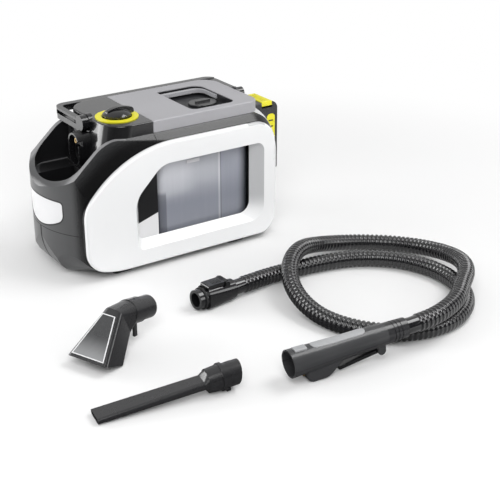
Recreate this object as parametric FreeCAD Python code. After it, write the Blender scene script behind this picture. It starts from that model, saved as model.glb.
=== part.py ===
"""Battery spot extractor: a carry-sized spray and suction cleaner for carpets and seats.

The machine stands on four rubber feet. An open bin with the hose socket is at its front (-X), a
lift-out clear tank under a grey lid fills its middle, and an 18 V battery slides down into the dock
at its rear (+X). A carry handle swings over the top. Beside the machine lie the suction hose with
its spray gun and machine connector, a hand nozzle with a clear face and a crevice nozzle.

Millimetres, +Z up. X runs along the machine, -Y is the side with the label, and the origin is on
the floor under the middle of the machine.
"""
import FreeCAD, Part
import math
import os
from FreeCAD import Vector

# Clearances and walls
wall = 3.0
fit_gap = 0.3
running_gap = 0.06
slide_gap = 1.0

# Machine body, seen from the side and from above
body_bottom_z = 5.0
body_front_x = -219.6
body_rear_x = 180.0
deck_z = 224.0
deck_half_width = 80.0
shoulder_half_width = 92.0
front_bow_radius = 130.0
front_corner_radius = 34.0
rear_top_radius = 48.0
rear_bottom_radius = 40.0
seam_z = 80.0
split_x = -50.0
rim_slope_deg = 42.0
keel_flat_half = 40.0
keel_side_y = 95.0
keel_slack = 1.0
base_start_x = -180.5
plate_depth = 1.8

# White side panels with their windows
panel_outer_y = 100.0
pocket_floor_y = 86.0
panel_bottom_z = 9.5
panel_rear_x = 174.0
panel_front_start_x = -113.0
panel_belly_radius = 176.0
panel_corner_radius = 40.0
panel_top_radius = 40.0
panel_rear_radius = 31.0
panel_skin = 3.5
panel_edge_round = 5.0
window_left_x = -97.0
window_right_x = 150.0
window_bottom_z = 38.0
window_top_z = 177.0
window_taper_left = 10.0
window_taper_bottom = 14.0
window_taper_top = 4.0
window_taper_right = 22.0
panel_latch_width = 5.0
panel_latch_height = 9.0
panel_latch_z = 141.0
label_sheet = 0.6

# Bin at the front, with its far shelf
bin_front_rim = 9.5
bin_half_width = 71.0
bin_corner_radius = 28.0
bin_floor_z = 100.0
shelf_z = 156.0
shelf_y = 27.0

# Tower behind the bin
tower_top_z = 244.0
tower_front_x = -125.0
tower_lean = 0.191
tower_corner_radius = 40.0
ridge_z = 157.0

# Knob on the tower
knob_x = -86.0
knob_y = -27.0
knob_ring_radius = 34.8
knob_ring_inner = 24.5
knob_ring_height = 1.6
knob_radius = 23.0
knob_height = 11.0
knob_ridge_height = 5.0
knob_shaft_radius = 4.0
knob_shaft_length = 26.0

# Hose socket on the tower front
socket_z = 193.5
socket_mouth_half_width = 16.0
socket_mouth_half_height = 24.5
socket_lip = 3.0
socket_base_spread = 4.0
socket_mouth_x = -152.0
duct_bore_radius = 15.8

# Tank bay, tank and lid
bay_rear_x = 138.0
bay_half_width = 79.5
bay_floor_z = 43.0
tank_wall = 2.5
tank_top_z = 223.0
tank_corner_radius = 14.0
tank_divider_x = 63.0
lid_base_z = 224.6
lid_top_z = 244.0
lid_rear_x = 155.0
lid_near_radius = 20.0
lid_far_radius = 30.0
seal_height = 2.9
recess_left_x = 32.0
recess_right_x = 117.0
recess_near_y = -65.0
recess_far_y = 54.0
recess_floor_z = 231.0
cap_x = 84.0
cap_y = -12.0
cap_length = 50.0
cap_width = 38.0
cap_height = 4.0
filler_length = 40.0
filler_width = 28.0
bail_pivot_y = -4.0
bail_pivot_z = 238.0
bail_bar_y = 44.0
bail_bar_width = 8.0
bail_bar_height = 6.0
bail_arm = 3.5
bail_pin_radius = 1.6
bail_pin_reach = 2.0
float_x = 10.0
float_y = 0.0
float_cage_radius = 16.0
float_cage_wall = 2.0
float_cage_bottom_z = 168.0
float_ball_radius = 10.0
float_travel = 30.0

# Carry handle
handle_pivot_z = 235.0
handle_hub_radius = 12.5
handle_pin_radius = 4.0
handle_outer_y = 99.0
handle_inner_y = 86.0
handle_front_x = -139.5
handle_front_arm = 9.5
handle_rear_arm_x = 159.4
handle_rear_arm = 11.6
handle_top_z = 241.0
handle_bottom_z = 222.0
handle_grip_bottom_z = 230.5
hub_face_x = -127.5
rear_bracket_x = 156.0
rear_bracket_thickness = 3.0

# Battery and rear cover
cover_thickness = 4.0
cover_join_x = 172.0
cover_half_width = 90.0
cover_top_z = 174.5
dock_half_width = 31.0
dock_rear_x = 223.0
dock_floor_z = 84.0
dock_bottom_z = 20.0
cheek_radius = 110.0
cheek_arc_z = 125.0
battery_x = 173.8
battery_length = 55.7
battery_half_width = 27.0
battery_top_z = 217.0
battery_round = 14.0
battery_toe = 9.0
release_x = 195.5
release_length = 21.5
release_height = 8.0
release_proud = 1.5
release_travel = 3.0
grip_x = 206.0
grip_length = 17.0
grip_z = 147.0
grip_height = 48.0
grip_depth = 1.5

# Feet
foot_length = 35.0
foot_width = 14.0
foot_rear_x = 103.5
foot_front_x = -115.5
foot_y = 76.0

# Air and water lines inside the tower, and the machinery under the bin
duct_z = 185.0
duct_plate_x = -142.0
coupling_z = 208.0
coupling_radius = 4.0
inner_lift = 4.0
inner_base_z = body_bottom_z + wall + inner_lift
turbine_x = -116.0
turbine_y = 28.0
turbine_radius = 42.0
turbine_height = 32.0
inner_foot_radius = 11.0
motor_shaft_radius = 3.0
pump_x = -112.0
pump_y = -44.0

# Spray gun, made along its own axis from the mouth
gun_mouth = (-99.0, -516.5, 30.3)
gun_length = 184.5
gun_cuff_start = 150.0
gun_profile = ((0.0, 20.0), (30.0, 19.0), (70.0, 17.3), (130.0, 16.6), (150.0, 15.6), (184.5, 14.5))
gun_mouth_radius = 17.6
gun_mouth_depth = 38.0
gun_seam_z = -4.0
pad_start = 34.0
pad_end = 118.0
pad_half_width = 7.5
gun_button_start = 8.0
gun_button_end = 26.0
gun_button_half_width = 6.0
jet_radius = 3.2
jet_z = -21.6
trigger_x = 142.0
trigger_z = -20.7
trigger_length = 66.0
trigger_drop = 8.0
trigger_pin_radius = 1.6

# Hose connector, made along its own axis from the spigot's face
connector_front = (-91.0, -265.5, 18.0)
connector_length = 69.18
connector_step = 16.0
connector_spigot_radius = 15.5
seal_start = 9.0
seal_end = 12.0
seal_inner = 14.6
seal_outer = 17.2
connector_hinge_x = 52.0
connector_hinge_z = 17.5
latch_seat_z = 13.5
latch_length = 34.0
latch_half_width = 10.4

# Hose on the floor: the points that its straight runs would meet at
hose_outer_radius = 13.5
hose_bore_radius = 9.5
hose_rib_depth = 1.4
hose_ribs = 96
hose_sides = 12
hose_route = (
    (-22.0, -260.5, 17.0), (17.9, -257.609, 16.422), (61.0, -251.0, 13.9), (110.0, -254.2, 13.8),
    (159.7, -260.5, 13.6), (208.4, -274.8, 13.6), (249.8, -303.5, 13.8), (279.1, -344.6, 13.9),
    (291.6, -393.5, 13.8), (284.9, -443.5, 13.8), (259.9, -487.3, 13.8), (220.0, -518.1, 13.7),
    (172.0, -530.5, 13.7), (123.1, -522.6, 13.7), (81.2, -496.2, 13.8), (51.4, -456.5, 13.8),
    (35.7, -407.5, 15.1), (35.2, -356.5, 24.0), (50.9, -310.2, 35.6), (81.6, -271.8, 43.8),
    (122.2, -242.9, 42.7), (167.5, -222.8, 29.2), (217.6, -219.4, 18.6), (266.7, -235.1, 13.6),
    (306.1, -269.7, 13.6), (328.2, -317.0, 18.1), (330.8, -367.8, 26.2), (315.4, -415.9, 35.8),
    (284.1, -458.6, 43.4), (242.3, -490.3, 44.4), (204.2, -522.0, 45.8), (158.7, -540.8, 45.8),
    (116.8, -545.47, 44.135), (83.5, -541.0, 42.0))

# Nozzles on the floor
hand_nozzle_place = (-310.0, -334.0, 0.0)
hand_nozzle_heading = 23.3
hand_collar_end = 32.0
hand_spigot_end = 57.0
crevice_tip = (-356.0, -449.0, 4.6)
crevice_end = (-152.0, -483.0, 23.0)
crevice_length = 204.0
crevice_collar = 174.0
crevice_slant = 12.0
crevice_prong_reach = 20.2



class Pen:
    """Draws an outline of straight runs and arcs in a plane, one edge per move."""

    def __init__(self, u, v, heading):
        self.start = (u, v)
        self.u = u
        self.v = v
        self.heading = heading
        self.edges = []

    def _go(self, *points):
        self.edges.append(((self.u, self.v),) + points)
        self.u, self.v = points[-1]
        return self

    def line(self, length):
        a = math.radians(self.heading)
        return self._go((self.u + length * math.cos(a), self.v + length * math.sin(a)))

    def corner(self, turn):
        """Turn on the spot, for a sharp corner."""
        self.heading += turn
        return self

    def to_u(self, u):
        return self.line((u - self.u) / math.cos(math.radians(self.heading)))

    def to_v(self, v):
        return self.line((v - self.v) / math.sin(math.radians(self.heading)))

    def arc(self, radius, turn):
        """Turn left for a plus angle in degrees, right for a minus one."""
        side = math.copysign(1.0, turn)
        a = math.radians(self.heading)
        cu = self.u - side * radius * math.sin(a)
        cv = self.v + side * radius * math.cos(a)
        points = []
        for share in (0.5, 1.0):
            b = math.radians(self.heading + turn * share)
            points.append((cu + side * radius * math.sin(b), cv - side * radius * math.cos(b)))
        self.heading += turn
        return self._go(*points)

    def close(self):
        return self._go(self.start)

    def wire(self, place):
        made = []
        for points in self.edges:
            spots = [place(*point) for point in points]
            if len(spots) == 2:
                made.append(Part.LineSegment(*spots).toShape())
            else:
                made.append(Part.Arc(*spots).toShape())
        return Part.Wire(made)


def side_plane(y):
    return lambda u, v: Vector(u, y, v)


def floor_plane(z):
    return lambda u, v: Vector(u, v, z)


def front_plane(x):
    return lambda u, v: Vector(x, u, v)


def prism(pen, place, along):
    return Part.Face(pen.wire(place)).extrude(along)


def ruled(pen_a, place_a, pen_b, place_b):
    return Part.makeLoft([pen_a.wire(place_a), pen_b.wire(place_b)], True, True)


def block(x0, x1, y0, y1, z0, z1):
    return Part.makeBox(x1 - x0, y1 - y0, z1 - z0, Vector(x0, y0, z0))


def rod(radius, base, along):
    return Part.makeCylinder(radius, along.Length, base, along)


def rounded(u0, u1, v0, v1, r00, r10=None, r11=None, r01=None):
    """Rounded rectangle; the radii go round from the low-low corner."""
    r10 = r00 if r10 is None else r10
    r11 = r00 if r11 is None else r11
    r01 = r00 if r01 is None else r01
    pen = Pen(u0 + r00, v0, 0.0)
    pen.to_u(u1 - r10).arc(r10, 90.0).to_v(v1 - r11).arc(r11, 90.0)
    pen.to_u(u0 + r01).arc(r01, 90.0).to_v(v0 + r00).arc(r00, 90.0)
    return pen


def slot_outline(cu, cv, half_u, half_v):
    """Stadium standing on its short side."""
    pen = Pen(cu + half_u, cv - half_v + half_u, 90.0)
    pen.to_v(cv + half_v - half_u).arc(half_u, 180.0)
    pen.to_v(cv - half_v + half_u).arc(half_u, 180.0)
    return pen


def mirrored(shape):
    return shape.mirror(Vector(0, 0, 0), Vector(0, 1, 0))


def save(name, *solids):
    shape = solids[0] if len(solids) == 1 else Part.makeCompound(list(solids))
    shape.exportStep("parts/%s.step" % name)


def body_outline(inset=0.0):
    """Side view of the body: leaning front, bin rim slope, flat deck, rounded rear."""
    t = inset
    lip = 14.0
    hollow = 80.0
    crown = 60.0
    pen = Pen(base_start_x, body_bottom_z + t, 180.0)
    pen.arc(30.0 - t, -60.0).arc(100.0 - t, -30.0)
    pen.to_v(144.5).arc(lip - t, -(90.0 - rim_slope_deg + 12.0)).arc(hollow + t, 12.0)
    crown_rise = (crown - t) * (1.0 - math.cos(math.radians(rim_slope_deg)))
    pen.to_v(deck_z - t - crown_rise).arc(crown - t, -rim_slope_deg)
    pen.to_u(body_rear_x - rear_top_radius).arc(rear_top_radius - t, -90.0)
    pen.to_v(body_bottom_z + rear_bottom_radius).arc(rear_bottom_radius - t, -90.0)
    pen.close()
    return pen


def panel_outline(grow=0.0):
    """Side view of the white panel, with as many edges as the body outline."""
    g = grow
    pen = Pen(panel_front_start_x, panel_bottom_z - g, 180.0)
    pen.arc(panel_belly_radius + g, -14.0).arc(panel_corner_radius + g, -76.0)
    pen.to_v(106.0).arc(55.0 + g, -20.0).arc(55.0 + g, -20.0)
    pen.arc(200.0 + g, -25.0).arc(200.0 + g, -25.0)
    pen.to_u(panel_rear_x - panel_top_radius).arc(panel_top_radius + g, -90.0)
    pen.to_v(panel_bottom_z + panel_rear_radius).arc(panel_rear_radius + g, -90.0)
    pen.close()
    return pen


def window_outline(depth=0.0, grow=0.0):
    """Window in the panel: depth 0 at the outer face, 1 at the back of the recess."""
    left = window_left_x + window_taper_left * depth - grow
    right = window_right_x - window_taper_right * depth + grow
    bottom = window_bottom_z + window_taper_bottom * depth - grow
    top = window_top_z - window_taper_top * depth + grow
    corner = 12.0 - 4.0 * depth
    lower_bend = 45.0
    upper_bend = 40.0
    rear_corner = 25.0 - 5.0 * depth
    top_corner = 15.0 - 10.0 * depth
    pen = Pen(left + corner, bottom, 180.0)
    pen.arc(corner, -90.0).to_v(108.0).arc(lower_bend, -45.0)
    pen.to_v(top - upper_bend * (1.0 - math.cos(math.radians(45.0)))).arc(upper_bend, -45.0)
    pen.to_u(right - top_corner).arc(top_corner, -90.0)
    pen.to_v(bottom + rear_corner).arc(rear_corner, -90.0).close()
    return pen


def front_plan(front_x, bow, corner, half_width, rear_x=260.0):
    """Plan view with a bowed front between two round corners."""
    lean = math.asin((half_width - corner) / (bow - corner))
    corner_x = front_x + bow - (bow - corner) * math.cos(lean)
    turn = math.degrees(lean)
    pen = Pen(rear_x, -half_width, 180.0)
    pen.to_u(corner_x).arc(corner, -(90.0 - turn)).arc(bow, -2.0 * turn)
    pen.arc(corner, -(90.0 - turn)).to_u(rear_x).close()
    return pen


def keel_outline(pen, top_z):
    """Closes a front bottom corner's outline upwards and backwards."""
    low_z = pen.start[1]
    return pen.to_v(top_z).corner(-90.0).to_u(top_z).corner(-90.0).to_v(low_z).close()


def keel_form(inset):
    """Limit on the lower front: full at the middle, drawn up towards the side panels."""
    t = inset - keel_slack
    middle = Pen(base_start_x, body_bottom_z + t, 180.0)
    middle.arc(30.0 - t, -60.0).arc(100.0 - t, -30.0)
    t = inset
    side = Pen(panel_front_start_x, panel_bottom_z + t, 180.0)
    side.arc(panel_belly_radius - t, -14.0).arc(panel_corner_radius - t, -76.0)
    keel_outline(middle, 300.0)
    keel_outline(side, 300.0)
    flank = ruled(middle, side_plane(-keel_flat_half), side, side_plane(-keel_side_y))
    core = prism(middle, side_plane(-keel_flat_half), Vector(0, 2 * keel_flat_half, 0))
    return core.fuse(flank).fuse(mirrored(flank))


def body_form(inset=0.0):
    """Whole outer shape of the body, or the space inside its walls."""
    t = inset
    inner_y = deck_half_width - t
    outer_y = shoulder_half_width - 2.0 * t
    core = prism(body_outline(t), side_plane(-inner_y), Vector(0, 2 * inner_y, 0))
    near = ruled(body_outline(t), side_plane(-inner_y), panel_outline(-t), side_plane(-outer_y))
    form = core.fuse(near).fuse(mirrored(near))
    plan = front_plan(body_front_x + t, front_bow_radius - t, front_corner_radius - t,
                      shoulder_half_width - 2.0 * t)
    form = form.common(prism(plan, floor_plane(0.0), Vector(0, 0, 300.0)))
    return form.common(keel_form(t))


def tower_plan(z, inset=0.0):
    """Plan of the tower at a height: straight rear, big round front corners."""
    t = inset
    front = tower_front_x - tower_lean * (tower_top_z - z) + t
    pen = Pen(split_x - t, -deck_half_width + t, 180.0)
    r = tower_corner_radius - t
    pen.to_u(front + r).arc(r, -90.0).to_v(deck_half_width - t - r).arc(r, -90.0)
    pen.to_u(split_x - t).close()
    return pen


def tower_form(low_z, high_z, inset=0.0):
    return ruled(tower_plan(low_z, inset), floor_plane(low_z),
                 tower_plan(high_z, inset), floor_plane(high_z))



def panel_pocket():
    """Space that the white panel takes on each side, with its gap all round."""
    depth = panel_outer_y + 10.0 - pocket_floor_y
    near = prism(panel_outline(fit_gap), side_plane(-panel_outer_y - 10.0), Vector(0, depth, 0))
    return near.fuse(mirrored(near))


def window_cut():
    """Window through the body wall to the tank, behind the panel's window."""
    depth = pocket_floor_y + 1.0 - bay_half_width + 1.0
    near = prism(window_outline(1.0, wall), side_plane(-pocket_floor_y - 1.0), Vector(0, depth, 0))
    seen = block(split_x, body_rear_x, -panel_outer_y, panel_outer_y, 0, deck_z)
    return near.fuse(mirrored(near)).common(seen)


def label_outline(grow=0.0):
    return window_outline(1.0, 4.0 + grow)


def label_sheet_at(side, grow=0.0):
    """Thin sheet let into the pocket floor, in front of the tank."""
    sheet = prism(label_outline(grow), side_plane(-pocket_floor_y), Vector(0, label_sheet, 0))
    front_part = block(window_left_x, split_x, -panel_outer_y, 0, 0, deck_z)
    sheet = sheet.common(front_part)
    return sheet if side < 0 else mirrored(sheet)


def front_plate_outline(grow=0.0):
    """Bare plate on the bowed front: level top, sagging lower edge."""
    g = grow
    half = 58.0 + g
    pen = Pen(-half, 120.0, 90.0)
    pen.to_v(132.0 + g - 5.0).arc(5.0, -90.0).to_u(half - 5.0).arc(5.0, -90.0)
    pen.to_v(112.0).arc(16.0 + g, -62.0)
    sag = math.hypot(pen.u * 2.0, 0.0) / (2.0 * math.sin(math.radians(28.0)))
    pen.arc(sag, -56.0).arc(16.0 + g, -62.0).close()
    return pen


def front_skin(depth):
    """Everything behind the bowed front at a depth below its surface."""
    plan = front_plan(body_front_x + depth, front_bow_radius - depth, front_corner_radius - depth,
                      shoulder_half_width - depth)
    return prism(plan, floor_plane(0.0), Vector(0, 0, deck_z))


def front_plate_cut():
    reach = prism(front_plate_outline(0.8), front_plane(body_front_x - 5.0), Vector(40.0, 0, 0))
    return reach.cut(front_skin(plate_depth))


def front_plate():
    sheet = prism(front_plate_outline(), front_plane(body_front_x - 5.0), Vector(40.0, 0, 0))
    return sheet.common(front_skin(fit_gap)).cut(front_skin(plate_depth))


def bin_pit():
    """The open bin: deep by the near side, a shelf by the far side, the tower behind it."""
    plan = front_plan(body_front_x + bin_front_rim, front_bow_radius - bin_front_rim,
                      bin_corner_radius, bin_half_width, split_x - 20.0)
    height = 160.0
    deep = prism(plan, floor_plane(bin_floor_z), Vector(0, 0, height))
    deep = deep.common(block(body_front_x, split_x, -bin_half_width, shelf_y, 0, height))
    high = prism(plan, floor_plane(shelf_z), Vector(0, 0, height))
    pit = deep.fuse(high).removeSplitter()
    return pit.cut(tower_form(bin_floor_z - 20.0, bin_floor_z + height + 20.0))


def tower_room():
    """Room inside the tower wall, open towards the tank bay."""
    room = tower_form(bin_floor_z - wall, tower_top_z - wall, wall)
    half = deck_half_width - wall
    rear = block(split_x - 30.0, split_x, -half, half, bin_floor_z - wall, tower_top_z - wall)
    return room.fuse(rear)


def bay_room(low_z, high_z):
    return block(split_x + wall, bay_rear_x, -bay_half_width, bay_half_width, low_z, high_z)


def rear_cover_cut():
    """What the white rear cover and the battery take from the body."""
    low = block(cover_join_x, body_rear_x + 60.0, -panel_outer_y, panel_outer_y,
                0, cover_top_z + fit_gap)
    half = dock_half_width + fit_gap
    dock = block(cover_join_x, body_rear_x + 60.0, -half, half, 0, deck_z + 10.0)
    return low.fuse(dock)


def machine_shell():
    """Body form with everything cut that another piece or a room takes; still one solid."""
    shell = body_form()
    inner = body_form(wall)
    floor_z = body_bottom_z + wall
    rib = wall
    front_room = inner.common(block(body_front_x, split_x - wall, -100, 100, floor_z,
                                    bin_floor_z - wall))
    under_bay = inner.common(block(split_x + rib, bay_rear_x, -100, 100, floor_z,
                                   bay_floor_z - wall))
    rear_room = inner.common(block(bay_rear_x + rib, cover_join_x - wall, -100, 100, floor_z,
                                   deck_z - wall))
    for room in (front_room, under_bay, rear_room, bay_room(bay_floor_z, 300.0), tower_room()):
        shell = shell.cut(room)
    for tool in (bin_pit(), panel_pocket(), window_cut(), rear_cover_cut(), front_plate_cut()):
        shell = shell.cut(tool)
    shell = shell.cut(label_sheet_at(-1, 0.0))
    return shell


def duct_line(x0, x1, radius):
    return rod(radius, Vector(x0, 0, duct_z), Vector(x1 - x0, 0, 0))


def lower_half(shell, side):
    y0 = -100.0 if side < 0 else 0.0
    return shell.common(block(-300, 300, y0, y0 + 100.0, 0, seam_z))


def front_housing(shell):
    """Upper front: bin, rims, and the tower wall up to the ridge."""
    piece = shell.common(block(-300, split_x, -100, 100, seam_z, 300))
    half = bin_half_width
    taken = tower_form(ridge_z, deck_z + 1.0).common(block(-300, split_x, -half, half, ridge_z, 300))
    return piece.cut(taken)


def tower_cover():
    """Top of the tower with its front wall down to the ridge."""
    top = tower_form(deck_z, tower_top_z)
    top = top.makeFillet(2.5, [e for e in top.Edges if e.BoundBox.ZMin > tower_top_z - 0.01
                               and e.BoundBox.XMax < split_x - 0.01])
    top = top.cut(tower_form(deck_z, tower_top_z - wall, wall))
    front = tower_form(ridge_z, deck_z).cut(tower_form(ridge_z, deck_z, wall))
    front = front.common(block(-300, split_x - 30.0, -bin_half_width, bin_half_width, 0, 300))
    cover = top.fuse(front).removeSplitter()
    pivot = Vector(hub_face_x, 0, handle_pivot_z)
    cover = cover.fuse(rod(handle_hub_radius + 1.5, pivot, Vector(8.0, 0, 0)))
    cover = cover.cut(rod(handle_hub_radius + 1.5, pivot, Vector(-20.0, 0, 0)))
    cover = cover.cut(rod(handle_pin_radius, Vector(-140.0, 0, handle_pivot_z), Vector(30.0, 0, 0)))
    shaft = rod(knob_shaft_radius + running_gap, Vector(knob_x, knob_y, 200), Vector(0, 0, 60))
    mouth = prism(socket_bore(), front_plane(socket_mouth_x - 1.0), Vector(40.0, 0, 0))
    return cover.cut(shaft).cut(mouth).cut(duct_space())


def socket_bore(grow=0.0):
    return slot_outline(0.0, socket_z, socket_mouth_half_width + grow,
                        socket_mouth_half_height + grow)


def duct_space():
    """Room that the air duct takes through the collar and the tower wall."""
    return duct_line(duct_plate_x - fit_gap, split_x, duct_bore_radius + 2.0 + fit_gap)


def hose_socket():
    """Oval collar on the tower front that takes the hose connector."""
    root_x = -128.0
    spread = socket_lip + socket_base_spread
    collar = ruled(socket_bore(socket_lip), front_plane(socket_mouth_x),
                   socket_bore(spread), front_plane(root_x))
    collar = collar.cut(tower_form(bin_floor_z, tower_top_z))
    bore = prism(socket_bore(), front_plane(socket_mouth_x - 1.0), Vector(40.0, 0, 0))
    notch_y = -socket_mouth_half_width - 1.0
    notch = block(socket_mouth_x - 1.0, socket_mouth_x + 7.0, notch_y - 4.0, notch_y + 6.0,
                  socket_z + 10.0, socket_z + 17.0)
    swing = block(handle_front_x - slide_gap, tower_front_x, -40.0, 40.0,
                  handle_bottom_z - slide_gap, deck_z + 10.0)
    return collar.cut(bore).cut(notch).cut(swing).cut(duct_space())


def air_duct():
    """Tube from the socket to the tank, with a face plate behind the socket mouth."""
    plate_x = duct_plate_x
    plate = prism(socket_bore(-fit_gap), front_plane(plate_x), Vector(3.0, 0, 0))
    tube = duct_line(plate_x, split_x, duct_bore_radius + 2.0)
    duct = plate.fuse(tube).cut(duct_line(plate_x - 1.0, split_x + 1.0, duct_bore_radius))
    coupling = Vector(plate_x - 1.0, 0, coupling_z)
    return duct.cut(rod(coupling_radius, coupling, Vector(10.0, 0, 0)))


def water_coupling():
    """Brass nipple that feeds cleaning water to the hose connector."""
    base = Vector(duct_plate_x - 6.0, 0, coupling_z)
    nipple = rod(coupling_radius, base, Vector(22.0, 0, 0))
    return nipple.cut(rod(1.8, base, Vector(22.0, 0, 0)))


def deck_frame(shell):
    """Upper rear: frame round the tank bay, with the rear pivot of the handle."""
    piece = shell.common(block(split_x, 300, -100, 100, seam_z, 300))
    half = handle_hub_radius - 1.0
    bracket = block(rear_bracket_x, rear_bracket_x + rear_bracket_thickness, -half, half,
                    deck_z - 14.0, handle_pivot_z)
    pivot = Vector(rear_bracket_x, 0, handle_pivot_z)
    bracket = bracket.fuse(rod(half, pivot, Vector(rear_bracket_thickness, 0, 0)))
    piece = piece.fuse(bracket)
    piece = piece.cut(rod(handle_pin_radius, pivot, Vector(20.0, 0, 0)))
    return piece.cut(duct_line(split_x - 1.0, split_x + wall + 1.0, duct_bore_radius))


def side_panel(side):
    """White side panel: a hollow skin with a tapered window recess."""
    thick = panel_outer_y - pocket_floor_y - fit_gap
    back_y = -pocket_floor_y - fit_gap
    outer = prism(panel_outline(), side_plane(back_y), Vector(0, -thick, 0))
    rim = [e for e in outer.Edges if e.BoundBox.YMax < -panel_outer_y + 0.01]
    outer = outer.makeFillet(panel_edge_round, rim)
    room = prism(panel_outline(-panel_skin), side_plane(back_y), Vector(0, panel_skin - thick, 0))
    frame = ruled(window_outline(0.0, panel_skin), side_plane(-panel_outer_y),
                  window_outline(1.0, panel_skin), side_plane(back_y))
    window = ruled(window_outline(-0.07), side_plane(-panel_outer_y - 1.0),
                   window_outline(1.07), side_plane(back_y + 1.0))
    panel = outer.cut(room.cut(frame)).cut(window)
    latch = block(panel_rear_x - panel_latch_width, panel_rear_x + 1.0, -panel_outer_y - 1.0,
                  -panel_outer_y + panel_skin + 1.0, panel_latch_z, panel_latch_z + panel_latch_height)
    panel = panel.cut(latch)
    return panel if side < 0 else mirrored(panel)


def cheek_outline():
    """Side view of the battery dock: low shelf behind, cheeks that sweep up to the deck."""
    start = cover_join_x + fit_gap
    pen = Pen(start, dock_bottom_z, 0.0)
    pen.to_u(dock_rear_x - 12.0).arc(12.0, 90.0).to_v(cheek_arc_z)
    pen.arc(cheek_radius, math.degrees(math.acos(1.0 - (dock_rear_x - start) / cheek_radius)))
    pen.close()
    return pen


def rear_cover():
    """White rear cover with the battery dock's cheeks and floor."""
    start = cover_join_x + fit_gap
    half = cover_half_width
    plate = prism(rounded(-half, half, body_bottom_z + 8.0, cover_top_z, 26.0, 26.0, 8.0, 8.0),
                  front_plane(start), Vector(cover_thickness, 0, 0))
    dock = prism(cheek_outline(), side_plane(-dock_half_width), Vector(0, 2 * dock_half_width, 0))
    cover = plate.fuse(dock)
    gap = battery_half_width + slide_gap / 2.0
    cover = cover.cut(block(start - 1.0, dock_rear_x + 5.0, -gap, gap, dock_floor_z - fit_gap, 300))
    inner = dock_half_width - wall
    cover = cover.cut(block(start - 1.0, dock_rear_x - wall, -inner, inner,
                            dock_bottom_z + wall, dock_floor_z - fit_gap - wall))
    return cover.cut(panel_pocket()).removeSplitter()


def battery_dock():
    """Terminal block on the rear wall of the body."""
    top = dock_floor_z + 96.0
    base = block(cover_join_x, cover_join_x + 1.4, -20.0, 20.0, dock_floor_z + 4.0, top)
    for y in (-12.0, 0.0, 12.0):
        base = base.cut(block(cover_join_x, cover_join_x + 2.0, y - 1.5, y + 1.5,
                              dock_floor_z + 12.0, dock_floor_z + 32.0))
    return base


def battery_pack():
    """Battery: rounded top rear, tapered toe, recess for the release, grip pockets."""
    rear = battery_x + battery_length
    pen = Pen(battery_x, dock_floor_z, 0.0)
    pen.to_u(rear - battery_toe)
    pen.heading = 50.0
    pen.to_u(rear)
    pen.heading = 90.0
    pen.to_v(battery_top_z - battery_round).arc(battery_round, 90.0).to_u(battery_x).close()
    half = battery_half_width
    pack = prism(pen, side_plane(-half), Vector(0, 2 * half, 0))
    long_edges = [e for e in pack.Edges if e.BoundBox.YLength < 0.01 and e.BoundBox.XMin > battery_x + 1.0]
    pack = pack.makeFillet(2.5, long_edges)
    pack = pack.cut(block(release_x - fit_gap, release_x + release_length + fit_gap, -half - 1.0,
                          half + 1.0, battery_top_z + release_proud - release_height - release_travel
                          - 0.5, 300))
    for y in (-half - 1.0, half - grip_depth):
        pack = pack.cut(grip_block(y, grip_depth + 1.0, 0.0))
    return pack


def grip_block(y, depth, shrink):
    s = shrink
    return prism(rounded(grip_x + s, grip_x + grip_length - s, grip_z + s, grip_z + grip_height - s,
                         2.0, 2.0, 7.0, 7.0), side_plane(y), Vector(0, depth, 0))


def battery_grips():
    """Yellow side grips with three slots each, flush in the battery's pockets."""
    made = []
    for y in (-battery_half_width, battery_half_width - grip_depth):
        grip = grip_block(y, grip_depth, 0.0)
        for step in range(3):
            z = grip_z + 12.0 + 11.0 * step
            grip = grip.cut(block(grip_x + 4.0, grip_x + grip_length - 3.0, y - 1.0,
                                  y + grip_depth + 1.0, z, z + 3.0))
        made.append(grip)
    return made


def battery_release():
    """Yellow button on top of the battery; pressed down it frees the battery."""
    base = battery_top_z + release_proud - release_height
    half = battery_half_width - 0.5
    button = block(release_x, release_x + release_length, -half, half, base,
                   battery_top_z + release_proud)
    top_edges = [e for e in button.Edges if e.BoundBox.ZMin > battery_top_z + release_proud - 0.01]
    button = button.makeFillet(1.5, top_edges)
    groove_z = battery_top_z + release_proud - 0.8
    for step in range(3):
        x = release_x + 5.0 + 5.0 * step
        button = button.cut(block(x, x + 1.6, -half + 6.0, half - 6.0, groove_z, groove_z + 5.0))
    return button


def rubber_feet():
    made = []
    body = body_form()
    for x in (foot_front_x, foot_rear_x):
        for y in (-foot_y, foot_y):
            pen = rounded(x - foot_length / 2, x + foot_length / 2, y - foot_width / 2,
                          y + foot_width / 2, foot_width / 2 - 0.3)
            foot = prism(pen, floor_plane(0.0), Vector(0, 0, body_bottom_z + 8.0))
            made.append(foot.cut(body))
    return made


def knob_ring():
    base = Vector(knob_x, knob_y, tower_top_z)
    ring = rod(knob_ring_radius, base, Vector(0, 0, knob_ring_height))
    return ring.cut(rod(knob_ring_inner, base, Vector(0, 0, knob_ring_height)))


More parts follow.
